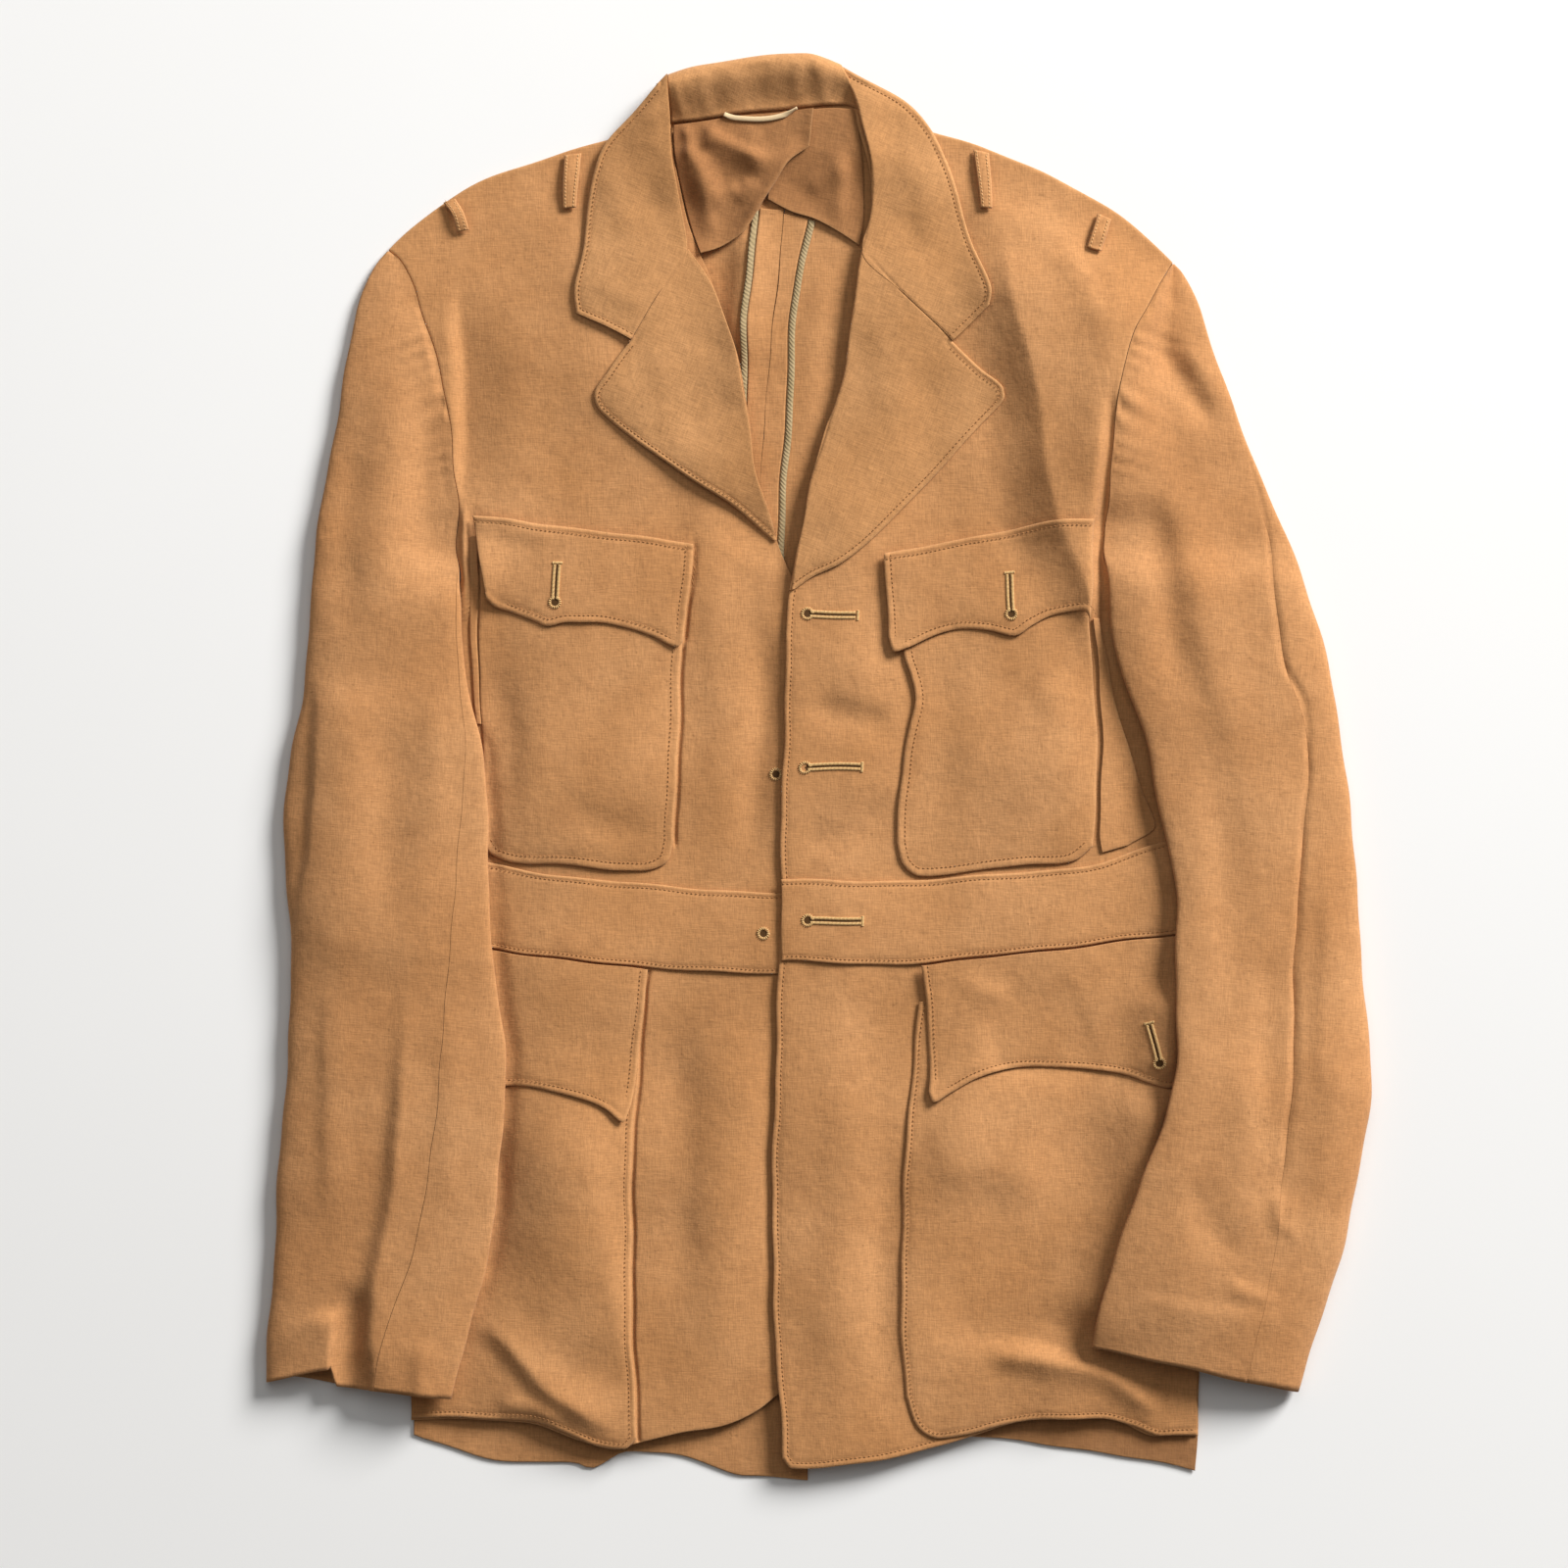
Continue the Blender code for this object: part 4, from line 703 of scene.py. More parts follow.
backPanels = {
    "backRight": {
        "cuts": [(-226.6, -374.3, -6, -400.1, -5, -2.5), (-228.3, -339.1, -5, -345),
            (-228.8, -229.1, -6.6, -218.1), (-232.1, -119.1, -18.1, -108.1), (-235.4, -47.6, -24.2, -42.1),
            (-237.6, -3.6, -28, 12.9), (-234.9, 40.4, -30.2, 67.9), (-222, 76.2, -31.3, 117.4),
            (-200.6, 109.2, -31.3, 150.4), (-202.4, 133.9, -31.3, 172.4), (-204.6, 169.7, -30.2, 188.9),
            (-210.7, 212.6, -27, 221.9), (-219.5, 248.3, -23.6, 260.4, 2), (-228.3, 272.5, -21, 293.4, 7, 1),
            (-232, 279, -20, 312, 10, 2), (-235, 283, -19, 331, 13, 2.5), (-238, 286.5, -18, 350, 15, 3),
            (-240.9, 289.6, -17.1, 368.2, 18, 4)],
        "hem": ([-227, -213, -180, -140, -126, -111, -98, -77, -45], [0, -1.5, -3, 2, -1, 8, 9.5, 8.5, 0]),
        # painted shade darkens this hem a little
        "lie": backLie, "coarse": 4.6, "turned": ["first"], "settle": 0.0, "soil": -345.0, "soiled": 0.2,
        "on": ["table"],
    },
    "backLeft": {
        "cuts": [(-5, -376.5, 212.3, -394.1, 8.5), (-5, -345, 212.9, -344.6), (-6.6, -218.1, 214.5, -229.1),
            (-18.1, -108.1, 217.8, -119.1), (-24.2, -42.1, 221.1, -47.6), (-28, 12.9, 221.7, 1.9),
            (-30.2, 67.9, 209.5, 47), (-31.3, 117.4, 186, 85), (-31.3, 150.4, 158, 115.8),
            (-31.3, 172.4, 160.1, 136.7), (-30.2, 188.9, 163.4, 166.9), (-27, 221.9, 164.5, 194.4),
            (-23.6, 260.4, 173.3, 234, 2), (-21, 293.4, 188.7, 265.9, 8), (-20, 312, 191.5, 270.5, 11.5),
            (-19, 331, 194, 275, 14.5), (-18, 350, 196.5, 278.5, 17.5),
            (-17.1, 368.2, 199.1, 281.9, 20.5, -1)],
        # painted shade darkens this hem more
        "lie": backLie, "coarse": 4.6, "turned": ["first"], "settle": 0.0, "soil": -345.0, "soiled": 0.85,
        "on": ["table"],
    },
    "backTurningRight": {
        "cuts": [(-42.9, 100.9, -31.9, 100.9), (-41.3, 181.2, -30.7, 181.2), (-39.6, 210.9, -28.6, 210.9),
            (-39.1, 251.1, -24.75, 251.1), (-35.4, 296, -21.2, 299), (-34.2, 314, -20.6, 312)],
        "lie": liningLie, "top": 1.0, "wall": 0.8, "coarse": 2.0, "crisp": ["end"], "on": ["back_r"],
    },
    "backTurningLeft": {
        "cuts": [(-31.9, 100.9, -24.2, 100.9), (-31.9, 135.6, -22.6, 135.6), (-29.7, 198.3, -18.2, 198.3),
            (-26.4, 233.5, -17, 233.5), (-23, 268.7, -14.3, 268.7), (-20.6, 310, -6.9, 306.6)],
        "lie": liningLie, "top": 1.0, "wall": 0.8, "coarse": 2.0, "crisp": ["start"], "on": ["back_l"],
    },
    "seamBindingRight": {
        "cuts": [(-47.1, 100.9, -42.9, 100.9), (-45.4, 181.2, -41.3, 181.2), (-43.8, 210.9, -39.6, 210.9),
            (-43.2, 251.1, -39.1, 251.1), (-39.6, 294, -35.6, 296), (-38.2, 311, -34.4, 313)],
        "lie": liningLie, "top": 1.2, "wall": 0.9, "cloth": "tape", "turned": ["start", "end"],
        "settle": 0.2, "on": ["back_r"],
    },
    "seamBindingLeft": {
        "cuts": [(-24.2, 100.9, -20, 100.9), (-22.6, 135.6, -18.4, 135.6), (-18.2, 198.3, -14, 198.3),
            (-17, 233.5, -12.8, 233.5), (-14.3, 268.7, -10.1, 268.7), (-6.9, 306.4, -2.8, 305.4)],
        "lie": liningLie, "top": 1.2, "wall": 0.9, "cloth": "tape", "turned": ["start", "end"],
        "settle": 0.2, "on": ["back_l"],
    },
    "yokeLiningLeft": {
        "cuts": [(-29.2, 318.7, -19.3, 364.9), (-16, 310.5, -9.4, 367.6), (-2.2, 306, 1.7, 368.6),
            (10.5, 299.5, 11.6, 369.2), (22, 291.8, 21, 369, -4)],
        "lie": liningLeftLie, "top": 1.0, "wall": 0.8, "cloth": "lining", "coarse": 1.8, "turned": ["start"],
        "settle": -1.8, "on": ["back_l"],
    },
    "yokeLiningRight": {
        "cuts": [(-66.5, 288.3, -81.5, 360, 3), (-59, 290.2, -70, 362.2, 1), (-51.2, 294, -55, 364.4),
            (-42.4, 300.6, -42.9, 365.6), (-33, 315.4, -30.3, 366.6), (-23.1, 328.6, -19.3, 367.4),
            (-16, 339.1, -10.5, 368), (-5, 346.8, -2.2, 368.4)],
        "lie": liningRightLie, "top": 1.0, "wall": 0.8, "cloth": "lining", "coarse": 1.8,
        "turned": ["start", "last"], "settle": -2.4, "on": ["yoke_lining_l", "back_r"],
    },
}
layPanels(backPanels)
print("back and linings laid")

frontPanels = {
    "frontRight": {
        "cuts": [(-234.5, -66.8, 1.7, -92.8, -3.5), (-237.6, -9.1, 1.7, -20), (-236, 34.9, 1.7, 43.2),
            (-225.5, 73.4, 0.6, 78.9), (-200.6, 106.4, -10, 94.3), (-203, 125.1, -21.4, 121.8),
            (-201.3, 147.7, -27.5, 144.9), (-204.6, 169.7, -34.7, 168), (-206.8, 191.7, -38.5, 194.4),
            (-210.7, 212.6, -42.9, 221.9), (-215.6, 236.2, -49.5, 246.7), (-222.2, 256.6, -59.4, 271.4, 1),
            (-226.6, 269.8, -69.3, 294.5, 3), (-233.8, 283, -76.5, 318, 7, 1),
            (-240.9, 289.6, -83, 360.5, 13, 2)],
        "curls": [(-193, 130, 5, -1.6), (-191, 114, 6, -2.2), (-188, 99, 5, -1.8)], "lie": frontLie,
        "on": ["back_r"], "turned": ["start", "last"], "settle": 0.1, "fineAcross": [(0.645, 0.735)],
        "crevices": [[(-79.2, -42), (-75.8, 68)], [(-74.8, 72), (-69.4, 125)]],
    },
    "frontLeft": {
        "cuts": [(-20.9, -85, 219.5, -62, -11.5), (-20.4, -9.1, 221.7, 1.9, -4), (-19.3, 40.4, 210, 45.9),
            (-18.2, 78.9, 188, 84), (-17.6, 97.6, 161.6, 111), (-13.8, 114.7, 160.1, 131.2),
            (-8.8, 135.6, 162.8, 150.4), (-2.2, 165.3, 163.4, 175.2), (5, 190.6, 164.5, 194.4),
            (12.1, 212.6, 168.9, 220.8), (17.6, 238.4, 176.6, 242.8), (21.5, 271.4, 183.2, 254.9, 1),
            (24.8, 293.4, 189.8, 267, 4), (29.7, 322, 195.3, 275.8, 8, -1),
            (20.4, 369.3, 199.1, 281.9, 14.5, -2.5)],
        "lie": leftFrontLie, "on": ["front_r", "back_l"], "turned": ["start", "end", "last"], "settle": 0.3,
        "fineAcross": [(0.84, 1.0)], "sewn": [(3.4, "right", "start")],
    },
    "skirtRight": {
        "cuts": [(-228.3, -366, -234, -67.5), (-195.3, -366, -190, -74.7), (-159.5, -367.6, -150, -80.2),
            (-134.8, -375.9, -120, -84), (-113.9, -382, -98, -86.4), (-102.3, -378.1, -85, -87.6),
            (-79.8, -372.1, -62, -89.7), (-55, -367.7, -40, -91.3), (-34.7, -358.9, -22, -92.6),
            (-22, -350.6, -10, -93.2), (0.6, -341.9, 1.7, -93.8)],
        "coarse": 3.0, "lie": frontLie, "on": ["back_r"], "turned": ["start", "first"], "settle": 0.2,
        "fineAlong": [(0.521, 0.6)],
        "crevices": [[(-101.2, -376), (-103.5, -313), (-103.5, -251), (-101.4, -189), (-96.8, -127),
                      (-94.2, -113)]],
    },
    "skirtLeft": {
        "cuts": [(-20.4, -386.4, -20.9, -86, 5), (-14.9, -392.4, -14, -87.1, 4.5),
            (2.8, -391.9, 8, -88.9, 4), (24.8, -389.1, 30, -89.6, 3), (49, -384.2, 52, -89.4, 2),
            (71.5, -379.2, 75, -88.6), (90.8, -373.2, 95, -87), (118.3, -365.5, 120, -84.1),
            (145.8, -363.8, 148, -79.8), (167.2, -365.5, 170, -75.6), (189.8, -374.8, 195, -69.8),
            (212.3, -374.3, 219, -63)],
        "coarse": 3.0, "lie": leftFrontLie, "on": ["skirt_r", "back_l"],
        "turned": ["start", "first", "last"], "settle": 0.3, "sewn": [(3.4, "left", "-first", "start")],
    },
    "waistbandRight": {
        "cuts": [(-233.2, -92.7, -235.4, -45.4), (-180.4, -101.5, -182.6, -53.7),
            (-146.9, -105.4, -144.7, -59.7), (-96.3, -112, -101.8, -64.1), (-57.8, -114.2, -62.7, -67.4),
            (-20.9, -116.4, -22.6, -70.2), (1.7, -117.5, 1.7, -71.3)],
        "lie": raised(frontLie, 1), "on": ["front_r", "skirt_r"], "turned": ["start", "end"], "settle": 0.7,
        "sewn": [(2.6, "left", "start"), (2.6, "right", "end")],
    },
    "waistbandLeft": {
        "cuts": [(-20.9, -108.7, -20.9, -62.5), (30.3, -110.3, 27, -63.5), (57.2, -109.2, 58.3, -62.5),
            (112.2, -103.2, 112.8, -58.1), (162.8, -97.1, 155.7, -52.6), (195.3, -94.4, 187, -43),
            (218.4, -92.2, 220.6, -34)],
        "lie": raised(leftFrontLie, 1), "on": ["front_l", "skirt_l"], "turned": ["start", "end", "first"],
        "settle": 0.7, "sewn": [(2.6, "left", "start"), (2.6, "right", "end")],
    },
}
layPanels(frontPanels)
print("fronts, skirts and waistband laid")

lapelFolds = [
    crease([(-122, 340), (-112, 318), (-106, 292)], 1.2, 10, 8),
    crease([(-124, 276), (-108, 262), (-92, 262)], 1.0, 8, 7),
    crease([(-92, 350), (-94, 326), (-88, 300)], -1.0, 7, 8),
    crease([(-98, 216), (-78, 222), (-60, 236)], 1.0, 12, 10),
    crease([(-80, 186), (-60, 196), (-48, 214)], -0.9, 10, 9),
    crease([(40, 350), (58, 326), (66, 296)], 1.2, 10, 9),
    crease([(44, 316), (56, 292), (72, 276)], -1.0, 8, 8),
    crease([(28, 262), (36, 226), (34, 190)], 1.0, 14, 8),
    crease([(56, 226), (62, 200), (52, 172)], -0.9, 10, 10),
]
lapelPanels = {
    "lapelRight": {
        "cuts": [(-26.4, 127.9, -23.1, 127.3), (-36.9, 137.2, -26.4, 139.4), (-50.6, 148.2, -30.3, 151.5),
            (-83, 168.6, -35.2, 169.7), (-104.5, 184, -39.1, 194.4), (-123.2, 199.4, -42.4, 215.3),
            (-126, 207.6, -46.8, 237.3), (-116.1, 221.9, -57.2, 265.9), (-104, 238.4, -73.2, 290.1)],
        "lie": turnover(frontLie, "r", lapelFolds), "on": ["front_r"], "cloth": "facing",
        "turned": ["start"], "settle": 0.9, "seams": [gorges["r"]], "crisp": ["last"],
        "sewn": [(3.0, "right", "start")],
    },
    "lapelLeft": {
        "cuts": [(-17.1, 98.7, -13.8, 99.8), (-14.9, 109.7, -2.8, 107), (-12.7, 119.6, 11.6, 114.1),
            (-8.8, 135.6, 38, 135.6), (-3.3, 161.4, 68.2, 166.9), (3.9, 187.8, 90.8, 192.2),
            (9.4, 204.3, 102.3, 204.9), (14.9, 225.8, 102.9, 210.9), (18.7, 254.9, 90.2, 223.6),
            (23.1, 289, 74.8, 238.4)],
        "lie": turnover(leftFrontLie, "l", lapelFolds), "on": ["front_l"], "cloth": "facing",
        "turned": ["end"], "settle": 0.9, "seams": [gorges["l"]], "crisp": ["last"],
        "sewn": [(3.0, "left", "end")],
    },
    "collarLeafRight": {
        "cuts": [(-134.8, 254.9, -103.8, 238.9), (-135.9, 265.9, -89.0, 263.9),
            (-132.6, 286.8, -73.6, 290.5), (-129.8, 310.5, -78.7, 320.9), (-126, 333.6, -81.4, 341.3),
            (-119.4, 349, -83, 360.5), (-104.5, 366, -84.2, 374.3), (-91.3, 380.9, -84.7, 387.5)],
        "lie": turnover(frontLie, "r", lapelFolds), "top": 1.5, "on": ["front_r"], "cloth": "facing",
        "turned": ["start"], "settle": 0.9, "seams": [gorges["r"]], "crisp": ["first"],
        "sewn": [(3.0, "right", "-first", "start")],
    },
    "collarLeafLeft": {
        "cuts": [(74.5, 238.9, 95.7, 258.8), (48.9, 264.2, 96.8, 265.9), (23.2, 289.5, 85.3, 293.4),
            (29.7, 318.2, 78.1, 321.5), (29.2, 340.2, 72.6, 339.6), (24.8, 360.5, 64.4, 357.2),
            (19.3, 377, 49.5, 372.6), (8.3, 393.5, 14.9, 391.3)],
        "lie": turnover(leftFrontLie, "l", lapelFolds), "top": 1.5, "on": ["front_l"], "cloth": "facing",
        "turned": ["end"], "settle": 0.9, "seams": [gorges["l"]], "crisp": ["first"],
        "sewn": [(3.0, "left", "first", "end")],
    },
}
layPanels(lapelPanels)

collarStand = {  # neck seam to fold, and the fall behind
    "stands": [(-83.6, 361.2, -85.2, 387.6), (-55, 365.8, -67, 394), (-33, 368, -40, 398),
        (-13, 369.3, -16.5, 400.1), (5, 370.5, -4, 399.5), (16, 371.4, 5, 396.5), (26, 367, 12.5, 393.6)],
    "fall": 8.0, "fold": 12.6, "seam": 3.6, "start": 0.2, "tuck": 0.3, "wall": 1.2,
    "gathers": [
        crease([(-75, 362), (-80, 378), (-78, 392)], 1.3, 3, 4, fade=0.2),
        crease([(-69, 364), (-73, 380), (-74, 394)], 0.6, 3, 3, fade=0.2),
        crease([(-60, 366), (-66, 380), (-64, 395)], 1.1, 5, 4, fade=0.2),
        crease([(-48, 368), (-50, 380), (-46, 392)], 0.9, 5, 6, fade=0.3),
        crease([(-30, 370), (-33, 384), (-30, 398)], -0.9, 7, 5, fade=0.3),
        crease([(-9, 371), (-13, 384), (-11, 398)], 0.9, 4, 5, fade=0.2),
        crease([(5, 371), (1, 384), (-3, 396)], 0.9, 4, 5, fade=0.2),
    ],
}


def layCollarBack(name, node, spec):
    v = np.linspace(0.0, 1.0, 64)
    stands = readTable(spec["stands"], v)[0]
    radius = spec["fold"] / 2.0
    flat, turn = np.linspace(0, 1, 12), np.linspace(0, 1, 14)[1:-1]
    x, y, z = [], [], []
    for seamX, seamY, foldX, foldY in stands:
        height = math.hypot(foldX - seamX, foldY - seamY)
        rise = np.array([foldX - seamX, foldY - seamY]) / height
        out = np.concatenate([-spec["fall"] + flat * (height - radius + spec["fall"]),
                              height - radius + radius * np.sin(np.pi * turn),
                              spec["start"] + flat[::-1] * (height - radius - spec["start"])])
        up = np.concatenate([np.zeros(len(flat)), radius - radius * np.cos(np.pi * turn),
                             spec["seam"] + (spec["fold"] - spec["seam"]) * ease(flat[::-1])])
        x.append(seamX + rise[0] * out)
        y.append(seamY + rise[1] * out)
        z.append(up)
    x, y, z = np.array(x), np.array(y), np.array(z)
    upper = np.arange(z.shape[1]) >= len(flat) + len(turn)
    z[:, upper] += foldsHeight(spec["gathers"], x[:, upper], y[:, upper])
    z *= 1.0 - spec["tuck"] * ease((v - 0.8) / 0.2)[:, None]  # runs in under the left leaf
    piece = gridObject(name, x, y, z, spec["wall"], "facing", None, (0, 1, 0))
    declare(piece, node)


layCollarBack("collarBackCloth", "collar_back", collarStand)
print("collar and lapels laid")

breastPanels = {
    "breastPocketRight": {
        "cuts": [(-187.6, -43, -189.8, 131.2), (-183.2, -49.3, -184.3, 129.5),
            (-144.7, -53.7, -144.7, 125.1), (-109.5, -57.5, -107.3, 120.2), (-91.9, -56.9, -85.3, 117.4),
            (-83.6, -51.4, -77.6, 116.3), (-80.3, -41, -74.8, 115.8)],
        "lie": pocketLie(frontLie), "on": ["front_r"], "turned": ["start", "last", "first"], "settle": 0.9,
        "sewn": [(4.6, "left", "start", "last")],
    },
    "breastPocketLeft": {
        "cuts": [(44, -42.1, 47.3, 109.2, -4.6, 2.6), (47.3, -54.2, 51.7, 110.3, -4, 2),
            (57.2, -60.8, 60.5, 111.9, -2.5), (82.5, -59.2, 85.3, 114.7), (115, -54.2, 115.5, 119.6),
            (143, -51.5, 137.5, 125.1, -3), (153.5, -43.2, 145.8, 127.3, -5)],
        "flank": ([-42, -10, 7, 22, 38, 52, 66, 90, 110], [0, 0.4, 0, 1.2, 2.5, -0.6, -4.6, -4, 0]),
        "lie": pocketLie(leftFrontLie), "on": ["front_l"], "turned": ["start", "first", "last"],
        "settle": 0.9, "sewn": [(4.6, "left", "-first", "start")],
    },
    "breastGussetRight": {
        "cuts": [(-192, 23.9, -188.6, 23.9), (-194.7, 78.9, -190, 78.9), (-195.3, 129.5, -190.8, 129.5)],
        "lie": raised(frontLie, 0.6), "on": ["front_r"], "turned": ["start"],
    },
    "breastGussetLeft": {
        "cuts": [(158.8, -46.5, 173.3, -43.2), (157, -35.5, 188.7, -32.8), (157.5, -11.9, 181.5, -12.4),
            (158.5, 18.4, 171, 19.5), (158, 40.9, 166, 40.9), (157, 63.5, 162, 63.5),
            (154.2, 83.3, 158, 83.3)],
        "lie": raised(leftFrontLie, 0.84), "on": ["front_l"], "turned": ["end", "first"],
    },
    "breastFlapRight": {
        "cuts": [(-185.9, 93.8, -193.6, 141.1), (-181.5, 89.9, -185.9, 140.5), (-171.1, 86.6, -171.1, 139.4),
            (-159, 81.7, -157.9, 137.2), (-150.7, 78.4, -148, 135.6), (-140.3, 80.6, -137.5, 133.9),
            (-126.5, 80.6, -122.7, 131.7), (-107.3, 76.7, -102.9, 129), (-91.9, 72.3, -85.3, 126.8),
            (-79.2, 67.4, -73.2, 125.7), (-75.9, 70.7, -70.4, 125.1)],
        "lie": flapLie(frontLie), "on": ["breast_pocket_r"], "turned": ["start", "first", "last", "end"],
        "settle": 0.9, "sewn": [(4.0, "left", "start", "last"), (3.4, "right", "end")],
        "curls": [(-77, 70, 8, 0.6), (-192, 112, 17, 4.8), (-188, 96, 9, 1.6)],
    },
    "breastFlapLeft": {
        "cuts": [(39.1, 73.4, 36.3, 120.2), (42.9, 65.2, 40.7, 121.3), (50.1, 67.4, 49, 122.9),
            (66.6, 74, 66.6, 125.7), (82.5, 76.7, 82.5, 127.9), (96.3, 75.6, 97.4, 130.6),
            (109.5, 72.3, 108.4, 132.8), (119.9, 78.4, 118.3, 135), (130.9, 84.4, 129.3, 137.2),
            (148, 87.7, 145.8, 138.9), (152.4, 82.8, 153.5, 138.9)],
        "lie": flapLie(leftFrontLie), "on": ["breast_pocket_l"], "turned": ["start", "first", "last", "end"],
        "settle": 0.9, "sewn": [(4.0, "left", "-first", "start"), (3.4, "right", "end")],
        "curls": [(42, 68, 9, 0.6), (153, 84, 8, 1.0)],
    },
}
skirtPanels = {
    "skirtPocketRight": {
        "cuts": [(-227.7, -364.4, -232.7, -124.6), (-195.3, -365, -195.3, -125.7),
            (-159.5, -366, -159.5, -126.8), (-140.3, -372.1, -134.8, -127.9),
            (-122.7, -379.8, -115.5, -127.9), (-109.5, -381.5, -104.5, -127.3, 3.5),
            (-102.3, -375.4, -97.9, -126.8, 4.5)],
        "lie": pocketLie(frontLie), "on": ["skirt_r"], "turned": ["start", "last"], "settle": 0.9,
        "sewn": [(3.2, "left", "start", "last")],
    },
    "skirtPocketLeft": {
        "cuts": [(49, -351.2, 56.7, -130.1, 6), (55.6, -369.3, 63.3, -129, 4.5),
            (66.6, -375.9, 72.1, -127.9, 3), (82.5, -373.7, 85.3, -126.8), (104.5, -368.2, 107.3, -124.6),
            (132, -363.8, 132, -121.9), (156.8, -363.8, 156.8, -119.1), (176, -368.2, 178.8, -116.3),
            (192.5, -374.5, 198, -113.6), (211.2, -373.7, 216.2, -110.9)],
        "lie": pocketLie(leftFrontLie), "on": ["skirt_l"], "turned": ["start", "first"], "settle": 0.9,
        "sewn": [(3.2, "left", "-first", "start")],
    },
    "skirtFlapRight": {
        "cuts": [(-231.6, -188.4, -233.2, -93.5), (-211.8, -184, -211.8, -97.1),
            (-189.8, -178.5, -189.8, -101), (-170.5, -177.4, -170.5, -103.1),
            (-146.9, -180.7, -146.9, -105.9), (-130.4, -185.7, -126.5, -108.7),
            (-118.3, -191.7, -110, -110.9), (-108.4, -198.9, -99, -112.5), (-104.5, -189.5, -95.2, -113)],
        "lie": flapLie(frontLie), "on": ["skirt_pocket_r"], "turned": ["start", "last"], "settle": 0.9,
        "sewn": [(3.6, "left", "start", "last")], "curls": [(-107, -195, 10, 1.4)],
    },
    "skirtFlapLeft": {
        "cuts": [(60.5, -180.7, 58.3, -109.8, -2), (63.8, -186.7, 63.3, -109.5),
            (72.1, -181.8, 72.1, -108.6), (87.5, -173.5, 87.5, -107), (107.8, -168.6, 107.8, -104.2),
            (128.2, -167, 128.2, -102), (152.9, -169.2, 152.9, -98.8), (173.3, -172.5, 173.3, -96.6),
            (186.5, -178, 186.5, -95.5), (196.4, -180.7, 198.6, -94.6), (210.7, -175.8, 217.3, -92.7)],
        "lie": flapLie(leftFrontLie), "on": ["skirt_pocket_l"], "turned": ["start", "first"], "settle": 0.9,
        "sewn": [(3.6, "left", "-first", "start")], "curls": [(63, -184, 10, 1.4)],
    },
}
layPanels(breastPanels)
layPanels(skirtPanels)
print("pockets and flaps laid")

